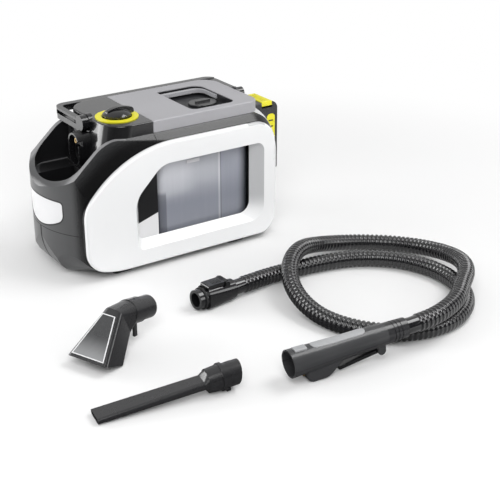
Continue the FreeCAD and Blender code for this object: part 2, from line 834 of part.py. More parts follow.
def mode_knob():
    """Domed knob with a finger ridge, scalloped rim and its shaft."""
    base_z = tower_top_z + fit_gap
    centre = Vector(knob_x, knob_y, base_z)
    r = knob_radius
    h = knob_height
    rim = Part.LineSegment(Vector(r, 0, 0), Vector(r, 0, 0.4 * h)).toShape()
    dome = Part.Arc(Vector(r, 0, 0.4 * h), Vector(0.72 * r, 0, 0.86 * h), Vector(0, 0, h)).toShape()
    axis = Part.LineSegment(Vector(0, 0, h), Vector(0, 0, 0)).toShape()
    foot = Part.LineSegment(Vector(0, 0, 0), Vector(r, 0, 0)).toShape()
    body = Part.Face(Part.Wire([rim, dome, axis, foot])).revolve(Vector(0, 0, 0), Vector(0, 0, 1), 360)
    scallops = 18
    for k in range(scallops):
        a = 2.0 * math.pi * k / scallops
        spot = Vector((r + 1.4) * math.cos(a), (r + 1.4) * math.sin(a), -1.0)
        body = body.cut(rod(2.4, spot, Vector(0, 0, h + 2.0)))
    half = 0.82 * r
    ridge = Pen(-half, 0.3 * h, 90.0)
    ridge.to_v(0.62 * h).arc(6.0, -70.0).arc(2.55 * r, -40.0).arc(6.0, -70.0).to_v(0.3 * h).close()
    grip = prism(ridge, side_plane(-3.5), Vector(0, 7.0, 0))
    body = body.fuse(grip)
    shaft = rod(knob_shaft_radius, Vector(0, 0, -knob_shaft_length), Vector(0, 0, knob_shaft_length))
    body = body.fuse(shaft)
    body.translate(centre)
    return body


def knob_switch():
    """Rotary switch under the knob, hung from the tower top."""
    top = tower_top_z - wall
    shaft_end = tower_top_z + fit_gap - knob_shaft_length
    low = shaft_end - 2.5
    half = 11.0
    base = block(knob_x - half, knob_x + half, knob_y - half, knob_y + half, low, top)
    return base.cut(rod(knob_shaft_radius + running_gap, Vector(knob_x, knob_y, shaft_end - 0.5),
                        Vector(0, 0, 60)))


def tank_outline(inset=0.0):
    t = inset
    x0 = split_x + wall + slide_gap + t
    x1 = bay_rear_x - slide_gap - t
    half = bay_half_width - slide_gap - t
    return rounded(x0, x1, -half, half, max(tank_corner_radius - t, 1.0))


def clear_tank():
    """Smoky clear tank with a divider and a port for the suction duct."""
    low = bay_floor_z + 2.0
    height = tank_top_z - low
    tank = prism(tank_outline(), floor_plane(low), Vector(0, 0, height))
    room = prism(tank_outline(tank_wall), floor_plane(low + tank_wall), Vector(0, 0, height))
    tank = tank.cut(room)
    half = bay_half_width - slide_gap - tank_wall
    divider = block(tank_divider_x - 1.25, tank_divider_x + 1.25, -half - 0.5, half + 0.5,
                    low + 1.0, tank_top_z - 10.0)
    tank = tank.fuse(divider)
    return tank.cut(duct_line(split_x, split_x + wall + slide_gap + 2 * tank_wall, duct_bore_radius))


def tank_seat():
    """Rubber pad on the bay floor that the tank stands on."""
    return prism(rounded(split_x + 20.0, bay_rear_x - 17.0, -50.0, 50.0, 8.0), floor_plane(bay_floor_z),
                 Vector(0, 0, 2.0 - fit_gap))


def water_filter():
    """Fresh-water filter block low in the front of the tank."""
    x0 = split_x + wall + slide_gap + tank_wall + fit_gap
    low = bay_floor_z + 2.0 + tank_wall + fit_gap
    return prism(rounded(x0, x0 + 17.0, -60.0, 60.0, 5.0), floor_plane(low), Vector(0, 0, 88.0))


def lid_outline(inset=0.0):
    t = inset
    half = deck_half_width - t
    return rounded(split_x + fit_gap + t, lid_rear_x - t, -half, half, 2.0, lid_near_radius - t,
                   lid_far_radius - t, 2.0)


def recess_outline(grow=0.0):
    """Opening in the lid: tight front corners, easier rear ones."""
    g = grow
    return rounded(recess_left_x - g, recess_right_x + g, recess_near_y - g, recess_far_y + g,
                   12.0 + g, 14.0 + g, 22.0 + g, 5.0 + g)


def tank_lid():
    """Grey lid: hollow shell, seal rim, and a sunk tray for the cap and the bail."""
    height = lid_top_z - lid_base_z
    lid = prism(lid_outline(), floor_plane(lid_base_z), Vector(0, 0, height))
    top_edges = [e for e in lid.Edges if e.BoundBox.ZMin > lid_top_z - 0.01
                 and e.BoundBox.XMax > split_x + 1.0]
    lid = lid.makeFillet(2.5, top_edges)
    room = prism(lid_outline(wall), floor_plane(lid_base_z - 1.0), Vector(0, 0, height + 1.0 - wall))
    rim_low = tank_top_z + seal_height + 2 * fit_gap
    rim = prism(tank_outline(), floor_plane(rim_low), Vector(0, 0, lid_top_z - wall - rim_low))
    rim = rim.cut(prism(tank_outline(4.0), floor_plane(rim_low - 1.0), Vector(0, 0, 40.0)))
    tray = prism(recess_outline(2.5), floor_plane(recess_floor_z - 2.5),
                 Vector(0, 0, lid_top_z - recess_floor_z))
    lid = lid.cut(room.cut(rim).cut(tray))
    lid = lid.cut(prism(tank_outline(), floor_plane(lid_base_z - 1.0), Vector(0, 0, rim_low + 1.0 - lid_base_z)))
    lid = lid.cut(prism(recess_outline(), floor_plane(recess_floor_z), Vector(0, 0, 40.0)))
    lid = lid.cut(prism(oval(cap_x, cap_y, filler_length, filler_width), floor_plane(200.0),
                        Vector(0, 0, 40.0)))
    pin_reach = recess_right_x - recess_left_x + 2.0 * bail_pin_reach + 0.4
    pin = Vector(recess_left_x - bail_pin_reach - 0.2, bail_pivot_y, bail_pivot_z)
    return lid.cut(rod(bail_pin_radius + running_gap, pin, Vector(pin_reach, 0, 0)))


def oval(cx, cy, length, width):
    r = width / 2.0 - 0.3
    return rounded(cx - length / 2, cx + length / 2, cy - width / 2, cy + width / 2, r)


def lid_seal():
    ring = prism(tank_outline(0.3), floor_plane(tank_top_z + fit_gap), Vector(0, 0, seal_height))
    return ring.cut(prism(tank_outline(3.7), floor_plane(tank_top_z), Vector(0, 0, 40.0)))


def filler_cap():
    """Oval cap with a finger bar, plugged into the filler hole."""
    z = recess_floor_z + fit_gap
    cap = prism(oval(cap_x, cap_y, cap_length, cap_width), floor_plane(z), Vector(0, 0, cap_height))
    top_edges = [e for e in cap.Edges if e.BoundBox.ZMin > z + cap_height - 0.01]
    cap = cap.makeFillet(1.5, top_edges)
    plug = prism(oval(cap_x, cap_y, filler_length - 0.6, filler_width - 0.6), floor_plane(z - 6.0),
                 Vector(0, 0, 6.0))
    bar = block(cap_x - 14.0, cap_x + 14.0, cap_y - 2.0, cap_y + 2.0, z, z + cap_height + 3.0)
    return cap.fuse(plug).fuse(bar)


def tank_bail():
    """Light-grey bail that lifts the tank out, folded to the far side of its tray."""
    x0 = recess_left_x + 0.6
    x1 = recess_right_x - 0.6
    low = bail_pivot_z - bail_bar_height / 2.0
    far = bail_bar_y + bail_bar_width / 2.0
    near = bail_pivot_y - 4.0
    outer = rounded(x0, x1, near, far, 1.0, 1.0, 20.0, 4.0)
    inner = rounded(x0 + bail_arm, x1 - bail_arm, near - 10.0, far - bail_bar_width, 1.0, 1.0, 15.0, 2.0)
    bail = prism(outer, floor_plane(low), Vector(0, 0, bail_bar_height))
    bail = bail.cut(prism(inner, floor_plane(low - 1.0), Vector(0, 0, bail_bar_height + 2.0)))
    for x, reach in ((x0 + 1.0, -(1.0 + 0.6 + bail_pin_reach)), (x1 - 1.0, 1.0 + 0.6 + bail_pin_reach)):
        bail = bail.fuse(rod(bail_pin_radius, Vector(x, bail_pivot_y, bail_pivot_z), Vector(reach, 0, 0)))
    return bail


def float_cage():
    """Slotted cage under the lid that guides the float ball."""
    top = lid_top_z - wall
    centre = Vector(float_x, float_y, float_cage_bottom_z)
    height = top - float_cage_bottom_z
    cage = rod(float_cage_radius, centre, Vector(0, 0, height))
    inner = float_cage_radius - float_cage_wall
    cage = cage.cut(rod(inner, centre + Vector(0, 0, 3.0), Vector(0, 0, height)))
    slot_half = 5.0
    low = float_cage_bottom_z + 6.0
    high = top - 12.0
    for pair in (block(float_x - 30, float_x + 30, float_y - slot_half, float_y + slot_half, low, high),
                 block(float_x - slot_half, float_x + slot_half, float_y - 30, float_y + 30, low, high)):
        cage = cage.cut(pair)
    return cage


def float_ball():
    centre = Vector(float_x, float_y, float_cage_bottom_z + 3.0 + fit_gap + float_ball_radius)
    return Part.makeSphere(float_ball_radius, centre)


def carry_handle():
    """U-shaped handle: split front arm, far grip, rear arm, and a hub at each end."""
    x0 = handle_front_x
    x1 = handle_rear_arm_x + handle_rear_arm
    outer = rounded(x0, x1, 0.0, handle_outer_y, 0.5, 0.5, 20.0, 20.0)
    inner = rounded(x0 + handle_front_arm, handle_rear_arm_x, -20.0, handle_inner_y, 0.5, 0.5, 9.0, 9.0)
    height = handle_top_z - handle_bottom_z
    bow = prism(outer, floor_plane(handle_bottom_z), Vector(0, 0, height))
    bow = bow.cut(prism(inner, floor_plane(handle_bottom_z - 1.0), Vector(0, 0, height + 2.0)))
    low_cut = block(x0 + handle_front_arm, x1 + 1.0, -20.0, handle_outer_y + 1.0,
                    handle_bottom_z - 1.0, handle_grip_bottom_z)
    bow = bow.cut(low_cut)
    corner_cut = block(x0 - 1.0, x0 + handle_front_arm, handle_inner_y - 4.0, handle_outer_y + 1.0,
                       handle_bottom_z - 1.0, handle_grip_bottom_z - 2.0)
    bow = bow.cut(corner_cut)
    rear_top = block(handle_rear_arm_x - 6.0, x1 + 1.0, -20.0, handle_inner_y, handle_top_z - 1.5, 300.0)
    bow = bow.cut(rear_top)
    gap = block(x0 - 1.0, x0 + handle_front_arm + 1.0, handle_hub_radius - 3.0, handle_inner_y - 2.0,
                handle_top_z - 10.0, handle_top_z - 4.0)
    bow = bow.cut(gap)
    front = Vector(x0, 0, handle_pivot_z)
    front_hub = rod(handle_hub_radius, front, Vector(hub_face_x - fit_gap - x0, 0, 0))
    rear = Vector(handle_rear_arm_x, 0, handle_pivot_z)
    rear_hub = rod(handle_hub_radius - 3.0, rear, Vector(handle_rear_arm, 0, 0))
    bow = bow.fuse(front_hub).fuse(rear_hub)
    bore = rod(handle_pin_radius + running_gap, Vector(x0 + 3.0, 0, handle_pivot_z), Vector(40.0, 0, 0))
    rear_bore = rod(handle_pin_radius + running_gap, rear + Vector(-1.0, 0, 0), Vector(10.0, 0, 0))
    return bow.cut(bore).cut(rear_bore).removeSplitter()


def handle_pins():
    """Two steel pins, one through the tower front, one in the deck bracket."""
    front = rod(handle_pin_radius, Vector(handle_front_x + 3.4, 0, handle_pivot_z), Vector(21.0, 0, 0))
    rear = rod(handle_pin_radius, Vector(rear_bracket_x, 0, handle_pivot_z), Vector(11.8, 0, 0))
    return front, rear


def turbine_housing():
    """Scroll with its suction eye, open on top for the motor."""
    base = Vector(turbine_x, turbine_y, inner_base_z)
    foot = rod(inner_foot_radius, base, Vector(0, 0, -inner_lift))
    outer = rod(turbine_radius, base, Vector(0, 0, turbine_height)).fuse(foot)
    inner = rod(turbine_radius - 2.5, base + Vector(0, 0, 2.5), Vector(0, 0, turbine_height - 5.0))
    eye = rod(14.0, base + Vector(0, 0, turbine_height - 5.0), Vector(0, 0, 10.0))
    outlet = block(turbine_x - turbine_radius, turbine_x, turbine_y - turbine_radius - 8.0,
                   turbine_y - turbine_radius + 14.0, inner_base_z, inner_base_z + 18.0)
    hole = block(turbine_x - turbine_radius + 2.5, turbine_x - 2.5, turbine_y - turbine_radius - 9.0,
                 turbine_y - turbine_radius + 16.0, inner_base_z + 2.5, inner_base_z + 15.5)
    return outer.fuse(outlet).cut(inner).cut(eye).cut(hole)


def turbine_impeller():
    """Suction wheel: two discs with curved blades on a hub."""
    z = inner_base_z + 6.0
    base = Vector(turbine_x, turbine_y, z)
    radius = turbine_radius - 8.0
    wheel = rod(radius, base, Vector(0, 0, 1.5))
    wheel = wheel.fuse(rod(8.0, base, Vector(0, 0, 20.0)))
    blades = 7
    for k in range(blades):
        pen = Pen(7.0, 0.0, 10.0)
        pen.arc(34.0, 48.0)
        tip_u, tip_v = pen.u, pen.v
        pen.heading += 90.0
        pen.line(1.6)
        pen.heading += 90.0
        pen.arc(32.4, -48.0)
        pen.close()
        blade = prism(pen, floor_plane(0.0), Vector(0, 0, 13.0))
        blade.rotate(Vector(0, 0, 0), Vector(0, 0, 1), 360.0 * k / blades)
        blade.translate(base)
        wheel = wheel.fuse(blade)
    shaft = Vector(turbine_x, turbine_y, z)
    return wheel.cut(rod(motor_shaft_radius, shaft, Vector(0, 0, 30.0)))


def suction_motor():
    """Motor standing on the turbine, its shaft down through the eye into the wheel."""
    top = inner_base_z + turbine_height
    base = Vector(turbine_x, turbine_y, top + 4.0)
    motor = rod(24.0, base, Vector(0, 0, 34.0))
    motor = motor.fuse(rod(17.0, base + Vector(0, 0, 34.0), Vector(0, 0, 6.0)))
    shaft = rod(motor_shaft_radius - running_gap, base, Vector(0, 0, -turbine_height + 8.0))
    motor = motor.fuse(shaft)
    for y in (-22.0, 22.0):
        leg = rod(3.0, Vector(turbine_x, turbine_y + y * 0.9, top), Vector(0, 0, 5.0))
        motor = motor.fuse(leg)
    return motor


def water_pump():
    """Small diaphragm pump with its two ports."""
    base = block(pump_x - 30.0, pump_x + 30.0, pump_y - 16.0, pump_y + 16.0,
                 inner_base_z, inner_base_z + 34.0)
    foot = block(pump_x - 20.0, pump_x + 20.0, 1.0 - keel_flat_half, pump_y + 16.0,
                 inner_base_z - inner_lift, inner_base_z)
    head = rod(13.0, Vector(pump_x - 30.0, pump_y, inner_base_z + 17.0), Vector(-12.0, 0, 0))
    port = rod(4.0, Vector(pump_x + 8.0, pump_y, inner_base_z + 34.0), Vector(0, 0, 10.0))
    return base.fuse(foot).fuse(head).fuse(port)


def control_board():
    """Circuit board on posts at the front wall of the bay."""
    x = split_x - 8.0
    board = block(x - 1.6, x, 26.0, 70.0, 110.0, 205.0)
    for y in (31.0, 65.0):
        for z in (116.0, 199.0):
            board = board.fuse(rod(2.5, Vector(x, y, z), Vector(split_x - x, 0, 0)))
    for z in (128.0, 152.0):
        board = board.fuse(block(x - 14.0, x - 1.6, 36.0, 58.0, z, z + 16.0))
    return board


def lay(shape, start, end):
    """Turn a piece made along +X from the origin so that it runs from start towards end."""
    along = (end - start).normalize()
    side = Vector(0, 0, 1).cross(along).normalize()
    up = along.cross(side)
    frame = FreeCAD.Matrix(along.x, side.x, up.x, start.x, along.y, side.y, up.y, start.y,
                           along.z, side.z, up.z, start.z, 0, 0, 0, 1)
    return shape.transformed(frame)


def back_from(end, towards, length):
    """Place at a length from one end, on the line towards another place."""
    return end + (towards - end).normalize() * length


def turned(stations, grow=0.0):
    """Solid of revolution about X from (place, radius) stations."""
    first = stations[0]
    last = stations[-1]
    spots = [Vector(first[0], 0, 0)] + [Vector(x, 0, r + grow) for x, r in stations]
    spots.append(Vector(last[0], 0, 0))
    edges = [Part.LineSegment(a, b).toShape() for a, b in zip(spots, spots[1:] + spots[:1])]
    return Part.Face(Part.Wire(edges)).revolve(Vector(0, 0, 0), Vector(1, 0, 0), 360)


def tube_along(x0, x1, radius):
    return rod(radius, Vector(x0, 0, 0), Vector(x1 - x0, 0, 0))


def gun_stations(x0, x1):
    """Outside of the gun's barrel between two places, thick at the mouth."""
    inside = [s for s in gun_profile if x0 < s[0] < x1]
    return [(x0, gun_radius_at(x0))] + inside + [(x1, gun_radius_at(x1))]


def gun_radius_at(x):
    for (xa, ra), (xb, rb) in zip(gun_profile, gun_profile[1:]):
        if xa <= x <= xb:
            return ra + (rb - ra) * (x - xa) / (xb - xa)
    return gun_profile[-1][1]


def gun_bore():
    mouth = tube_along(-1.0, gun_mouth_depth, gun_mouth_radius)
    return mouth.fuse(tube_along(gun_mouth_depth - 1.0, gun_length + 1.0, hose_bore_radius))


def gun_barrel():
    return turned(gun_stations(0.0, gun_cuff_start)).cut(gun_bore())


def grip_pad_space(grow):
    pen = rounded(pad_start - grow, pad_end + grow, -pad_half_width - grow, pad_half_width + grow, 7.0)
    return prism(pen, floor_plane(0.0), Vector(0, 0, 40.0))


def button_space(grow):
    half = gun_button_half_width + grow
    return block(gun_button_start - grow, gun_button_end + grow, -half, half, 5.0, 40.0)


def gun_upper():
    high = block(-1.0, gun_length, -40, 40, gun_seam_z, 40)
    piece = gun_barrel().common(high)
    skin = turned(gun_stations(5.0, gun_cuff_start), 5.0).cut(turned(gun_stations(0.0, gun_length), -1.0))
    return piece.cut(skin.common(grip_pad_space(fit_gap))).cut(button_space(fit_gap))


def gun_lower():
    """Lower half of the gun with the spray bulge and the ears of the trigger."""
    low = block(-1.0, gun_length, -40, 40, -40, gun_seam_z)
    piece = gun_barrel().common(low)
    pen = Pen(20.0, gun_seam_z - 2.0, -82.0)
    pen.line(17.8).arc(11.0, 82.0).to_u(48.0).arc(22.0, 40.0).to_v(gun_seam_z - 2.0).close()
    bulge = prism(pen, side_plane(-13.0), Vector(0, 26.0, 0))
    rim = [e for e in bulge.Edges if e.BoundBox.YLength < 0.01 and e.BoundBox.ZMin < gun_seam_z - 3.0]
    bulge = bulge.makeFillet(4.0, rim)
    bulge = bulge.cut(turned(gun_stations(0.0, gun_length), -0.8))
    piece = piece.fuse(bulge)
    for y in (-9.5, 6.5):
        ear = rod(6.0, Vector(trigger_x, y, trigger_z), Vector(0, 3.0, 0))
        web = block(trigger_x - 6.0, trigger_x + 6.0, y, y + 3.0, trigger_z, -12.0)
        web = web.cut(gun_bore())
        piece = piece.fuse(ear.fuse(web))
    piece = piece.fuse(rod(trigger_pin_radius, Vector(trigger_x, -8.0, trigger_z), Vector(0, 16.0, 0)))
    return piece.cut(gun_bore()).cut(jet_space(fit_gap))


def jet_space(grow):
    a = math.radians(8.0)
    along = Vector(-math.cos(a), 0, -math.sin(a))
    base = Vector(29.0, 0, jet_z) - along * grow
    return rod(jet_radius + grow, base, along * (8.5 + 2 * grow))


def spray_jet():
    a = math.radians(8.0)
    along = Vector(-math.cos(a), 0, -math.sin(a))
    return jet_space(0.0).cut(rod(0.8, Vector(29.0, 0, jet_z), along * 12.0))


def gun_grip_pad():
    skin = turned(gun_stations(5.0, gun_cuff_start), 0.9)
    skin = skin.cut(turned(gun_stations(0.0, gun_length), -0.8))
    return skin.common(grip_pad_space(0.0))


def gun_button():
    outer = turned(gun_stations(0.0, 60.0), 1.6)
    button = outer.common(button_space(0.0))
    return button.cut(tube_along(0.0, 60.0, gun_mouth_radius + 0.3))


def gun_cuff():
    cuff = turned(gun_stations(gun_cuff_start, gun_length)).cut(gun_bore())
    for x in (160.0, 166.0, 172.0):
        ring = tube_along(x, x + 2.0, 30.0).cut(tube_along(x, x + 2.0, gun_radius_at(x) - 0.8))
        cuff = cuff.cut(ring)
    return cuff


def gun_trigger():
    """Lever under the grip, hung on a pin by the cuff."""
    slope = math.degrees(math.atan2(trigger_drop, trigger_length))
    reach = math.hypot(trigger_drop, trigger_length)
    thick = 5.0
    pen = Pen(trigger_x, trigger_z + thick / 2.0, 180.0 + slope)
    pen.line(reach).arc(thick / 2.0, 180.0).line(reach).close()
    lever = prism(pen, side_plane(-5.5), Vector(0, 11.0, 0))
    hub = rod(4.2, Vector(trigger_x, -5.5, trigger_z), Vector(0, 11.0, 0))
    pin = rod(trigger_pin_radius + running_gap, Vector(trigger_x, -7.0, trigger_z), Vector(0, 14.0, 0))
    return lever.fuse(hub).cut(pin)


def connector_section(half, corner):
    return rounded(-half, half, -half, half, corner)


def hose_connector():
    """Machine end of the hose: round spigot, square-shouldered body, latch seat."""
    spigot = tube_along(0.0, connector_step, connector_spigot_radius)
    body = ruled(connector_section(17.0, 10.0), front_plane(connector_step),
                 connector_section(15.5, 14.9), front_plane(connector_length))
    piece = spigot.fuse(body)
    groove = tube_along(seal_start - 0.1, seal_end + 0.1, 30.0)
    piece = piece.cut(groove.cut(tube_along(seal_start - 1.0, seal_end + 1.0, seal_inner)))
    piece = piece.cut(tube_along(-1.0, connector_length + 1.0, hose_bore_radius + 1.5))
    ear_y = latch_half_width + 0.6
    ear_thick = 2.5
    seat = block(connector_step, connector_hinge_x + 6.0, -ear_y, ear_y, latch_seat_z, 40.0)
    piece = piece.cut(seat)
    for y in (-ear_y - ear_thick, ear_y):
        ear = block(connector_hinge_x - 4.0, connector_hinge_x + 4.0, y, y + ear_thick, 8.0,
                    connector_hinge_z)
        ear = ear.fuse(rod(4.0, Vector(connector_hinge_x, y, connector_hinge_z), Vector(0, ear_thick, 0)))
        piece = piece.fuse(ear.cut(tube_along(-1.0, connector_length + 1.0, 12.5)))
    pin = Vector(connector_hinge_x, -ear_y - 1.0, connector_hinge_z)
    return piece.fuse(rod(1.5, pin, Vector(0, 2.0 * ear_y + 2.0, 0)))


def connector_seal():
    ring = tube_along(seal_start, seal_end, seal_outer)
    return ring.cut(tube_along(seal_start - 1.0, seal_end + 1.0, seal_inner + 0.05))


def connector_latch():
    """Thumb latch on top of the connector."""
    x = connector_hinge_x
    z = connector_hinge_z
    half = latch_half_width
    pen = Pen(x, z - 2.0, 180.0)
    pen.to_u(x - latch_length).arc(1.5, -90.0).line(1.5).arc(3.0, -90.0)
    pen.to_u(x - 8.0).arc(40.0, 8.0).to_u(x + 2.0).close()
    lever = prism(pen, side_plane(-half), Vector(0, 2.0 * half, 0))
    lever = lever.fuse(rod(3.0, Vector(x, -half, z), Vector(0, 2.0 * half, 0)))
    return lever.cut(rod(1.5 + running_gap, Vector(x, -half - 2.0, z), Vector(0, 2.0 * half + 4.0, 0)))


def near_round(radius):
    """Circle made of as many edges as a rounded rectangle."""
    return rounded(-radius, radius, -radius, radius, radius - 0.3)


def across(origin, along):
    """Plane of a section: u to the side, v up the section, square to a direction."""
    normal = Vector(along).normalize()
    side = Vector(0, 1, 0)
    up = normal.cross(side).normalize()
    return lambda u, v: origin + side * u + up * v


def hand_sections(inset, start=0.0):
    """Sections of the hand nozzle from its mouth to its neck, as (pen, plane)."""
    t = inset
    mouth_dir = Vector(16.0, 0, 41.0)
    shoulder_dir = Vector(48.0, 0, 22.0)
    neck_dir = Vector(58.0, 0, -13.0)
    mouth = rounded(-34.5 + t, 34.5 - t, -22.0 + t, 22.0 - t, 6.0 - 0.6 * t)
    shoulder = rounded(-15.0 + t, 15.0 - t, -26.0 + t, 26.0 - t, 10.0 - 0.6 * t)
    neck = near_round(18.5 - t)
    mouth_spot = Vector(20.5, 0, 8.0) - Vector(mouth_dir).normalize() * start
    return [(mouth, across(mouth_spot, mouth_dir)),
            (shoulder, across(Vector(73.0, 0, 46.0), shoulder_dir)),
            (neck, across(Vector(97.0, 0, 49.4), neck_dir))]


def hand_hull(inset, start=0.0):
    """Closed hull of the hand nozzle's head."""
    wires = [pen.wire(place) for pen, place in hand_sections(inset, start)]
    return Part.makeLoft(wires, True, True)


def hand_neck(x0, x1, radius):
    origin = Vector(85.0, 0, 52.0)
    along = Vector(58.0, 0, -13.0).normalize()
    return rod(radius, origin + along * x0, along * (x1 - x0))


def face_window(grow, depth, lift):
    """Trapezoid on the sloping face, from its lip to the shoulder."""
    low = Vector(0, 0, 16.0)
    up = Vector(62.0, 0, 54.0).normalize()
    out = Vector(-54.0, 0, 62.0).normalize()
    g = grow
    spots = [(5.0 - g, -28.0 - g), (5.0 - g, 28.0 + g), (72.0 + g, 11.0 + g), (72.0 + g, -11.0 - g)]
    points = [low + up * u + Vector(0, v, 0) + out * lift for u, v in spots]
    edges = [Part.LineSegment(a, b).toShape() for a, b in zip(points, points[1:] + points[:1])]
    return Part.Face(Part.Wire(edges)).extrude(out * -depth)


def hand_nozzle_body():
    """Head that widens to the mouth, hollow, with a neck and a spigot for the gun."""
    spigot = hand_neck(hand_collar_end - 2.0, hand_spigot_end, gun_mouth_radius - fit_gap)
    piece = hand_hull(0.0).fuse(hand_neck(8.0, hand_collar_end, 19.0)).fuse(spigot)
    for y in (-11.0, 7.0):
        piece = piece.fuse(block(95.0, 101.0, y, y + 4.0, 13.0, 40.0))
    room = hand_hull(3.0, 1.0).fuse(hand_neck(6.0, hand_spigot_end + 2.0, 14.5))
    piece = piece.cut(room)
    return piece.cut(face_window(0.3, 12.0, 4.0))


def hand_nozzle_window():
    return face_window(0.0, 2.6, 0.2)


def crevice_nozzle():
    """Flat tapered blade that grows into a round spigot, hollow from tip to spigot."""
    blade = [rounded(-16.0, 16.0, -4.0, 4.0, 3.9).wire(front_plane(0.0)),
             rounded(-14.5, 14.5, -6.3, 6.3, 6.2).wire(front_plane(149.0)),
             near_round(16.0).wire(front_plane(157.0))]
    inner = [rounded(-13.8, 13.8, -2.2, 2.2, 2.1).wire(front_plane(-0.5)),
             rounded(-12.3, 12.3, -4.5, 4.5, 4.4).wire(front_plane(147.0)),
             near_round(13.5).wire(front_plane(158.0))]
    piece = Part.makeLoft(blade, True, True)
    end = crevice_length
    spigot = gun_mouth_radius - fit_gap
    collar_end = crevice_collar + 5.0
    seat_start = collar_end + 7.5
    seat_end = end - 9.0
    piece = piece.fuse(turned([(155.5, 16.5), (crevice_collar, 17.9), (crevice_collar, 19.3),
                               (collar_end, 19.3), (collar_end, spigot - 0.3),
                               (seat_start, spigot - 0.3), (seat_start, spigot), (seat_end, spigot),
                               (seat_end, spigot - 0.2), (end, spigot - 0.2)]))
    bevel = block(end, end + 60.0, -30, 30, -60, 60)
    bevel.rotate(Vector(end, 0, spigot), Vector(0, 1, 0), crevice_slant)
    for y in (-9.0, 5.0):
        piece = piece.fuse(block(collar_end + 1.0, collar_end + 7.0, y, y + 4.0, -crevice_prong_reach, -15.0))
    piece = piece.cut(bevel)
    room = Part.makeLoft(inner, True, True).fuse(tube_along(156.5, end + 2.0, 14.0))
    piece = piece.cut(room)
    web = block(0.0, 40.0, -0.9, 0.9, -2.6, 2.6)
    return piece.fuse(web)


def hose_points():
    return [Vector(*spot) for spot in hose_route]


def hose_path():
    """Straight runs joined by tangent arcs; returns the wire's edges and prints the radii."""
    points = hose_points()
    edges = []
    here = points[0]
    radii = []
    for a, b, c in zip(points, points[1:], points[2:]):
        before = (a - b)
        after = (c - b)
        turn = math.pi - before.getAngle(after)
        cut = 0.45 * min(before.Length, after.Length)
        radius = cut / math.tan(turn / 2.0)
        start = b + Vector(before).normalize() * cut
        end = b + Vector(after).normalize() * cut
        bisector = (Vector(before).normalize() + Vector(after).normalize()).normalize()
        middle = b + bisector * (radius / math.cos(turn / 2.0) - radius)
        edges.append(Part.LineSegment(here, start).toShape())
        edges.append(Part.Arc(start, middle, end).toShape())
        here = end
        radii.append(radius)
    edges.append(Part.LineSegment(here, points[-1]).toShape())
    print("hose bend radii from %.0f to %.0f mm" % (min(radii), max(radii)))
    return edges


def path_spot(edges, place):
    """Point and direction at a length along the path."""
    for edge in edges:
        if place <= edge.Length + 1e-6:
            at = edge.getParameterByLength(min(place, edge.Length))
            return edge.valueAt(at), edge.tangentAt(at)
        place -= edge.Length
    return edges[-1].valueAt(edges[-1].LastParameter), edges[-1].tangentAt(edges[-1].LastParameter)


def hose_ring(edges, place, radius):
    """Ring of the hose, many-sided, with its corners level from ring to ring."""
    centre, along = path_spot(edges, place)
    side = Vector(0, 0, 1).cross(along).normalize()
    up = along.cross(side)
    spots = []
    for k in range(hose_sides):
        a = 2.0 * math.pi * (k + 0.5) / hose_sides
        spots.append(centre + side * (radius * math.cos(a)) + up * (radius * math.sin(a)))
    return Part.makePolygon(spots + spots[:1])


def suction_hose():
    """Ribbed hose with its bore, from the connector to the gun's cuff."""
    edges = hose_path()
    total = sum(edge.Length for edge in edges)
    smooth = 2.0 * hose_outer_radius
    pitch = (total - 2.0 * smooth) / hose_ribs
    valley = hose_outer_radius - hose_rib_depth
    outer = [(0.0, valley)]
    inner = [0.0]
    for k in range(hose_ribs):
        base = smooth + k * pitch
        outer.append((base, valley))
        outer.append((base + 0.2 * pitch, hose_outer_radius))
        outer.append((base + 0.6 * pitch, hose_outer_radius))
        outer.append((base + 0.8 * pitch, valley))
        inner.append(base)
    outer.append((total, valley))
    inner.append(total - smooth)
    inner.append(total)
    rings = [hose_ring(edges, place, radius) for place, radius in outer]
    bores = [hose_ring(edges, place, hose_bore_radius) for place in inner]
    hose = Part.makeLoft(rings, True, True).cut(Part.makeLoft(bores, True, True))
    print("hose length %.0f mm, volume %.0f mm3, valid %s" % (total, hose.Volume, hose.isValid()))
    return hose


def make_body_pieces():
    shell = machine_shell()
    save("base_half_near", lower_half(shell, -1))
    save("base_half_far", lower_half(shell, 1))
    save("front_housing", front_housing(shell))
    save("deck_frame", deck_frame(shell))
    save("tower_cover", tower_cover())
    save("side_panel_near", side_panel(-1))
    save("side_panel_far", side_panel(1))
    save("side_label", label_sheet_at(-1, -0.2))
    save("front_plate", front_plate())
    save("rear_cover", rear_cover())
    save("battery_dock", battery_dock())
    save("rubber_feet", *rubber_feet())


def make_inner_pieces():
    save("knob_ring", knob_ring())
    save("knob_switch", knob_switch())
    save("hose_socket", hose_socket())
    save("air_duct", air_duct())
    save("water_coupling", water_coupling())
    save("turbine_housing", turbine_housing())
    save("turbine_impeller", turbine_impeller())
    save("suction_motor", suction_motor())
    save("water_pump", water_pump())
    save("control_board", control_board())
    save("tank_seat", tank_seat())


def make_moving_pieces():
    save("handle_pivot_pins", *handle_pins())
    save("carry_handle", carry_handle())
    save("mode_knob", mode_knob())
    save("battery_pack", battery_pack())
    save("battery_grips", *battery_grips())
    save("battery_release", battery_release())
    save("clear_tank", clear_tank())
    save("water_filter", water_filter())
    save("tank_lid", tank_lid())
    save("lid_seal", lid_seal())
    save("filler_cap", filler_cap())
    save("tank_bail", tank_bail())
    save("float_cage", float_cage())
    save("float_ball", float_ball())


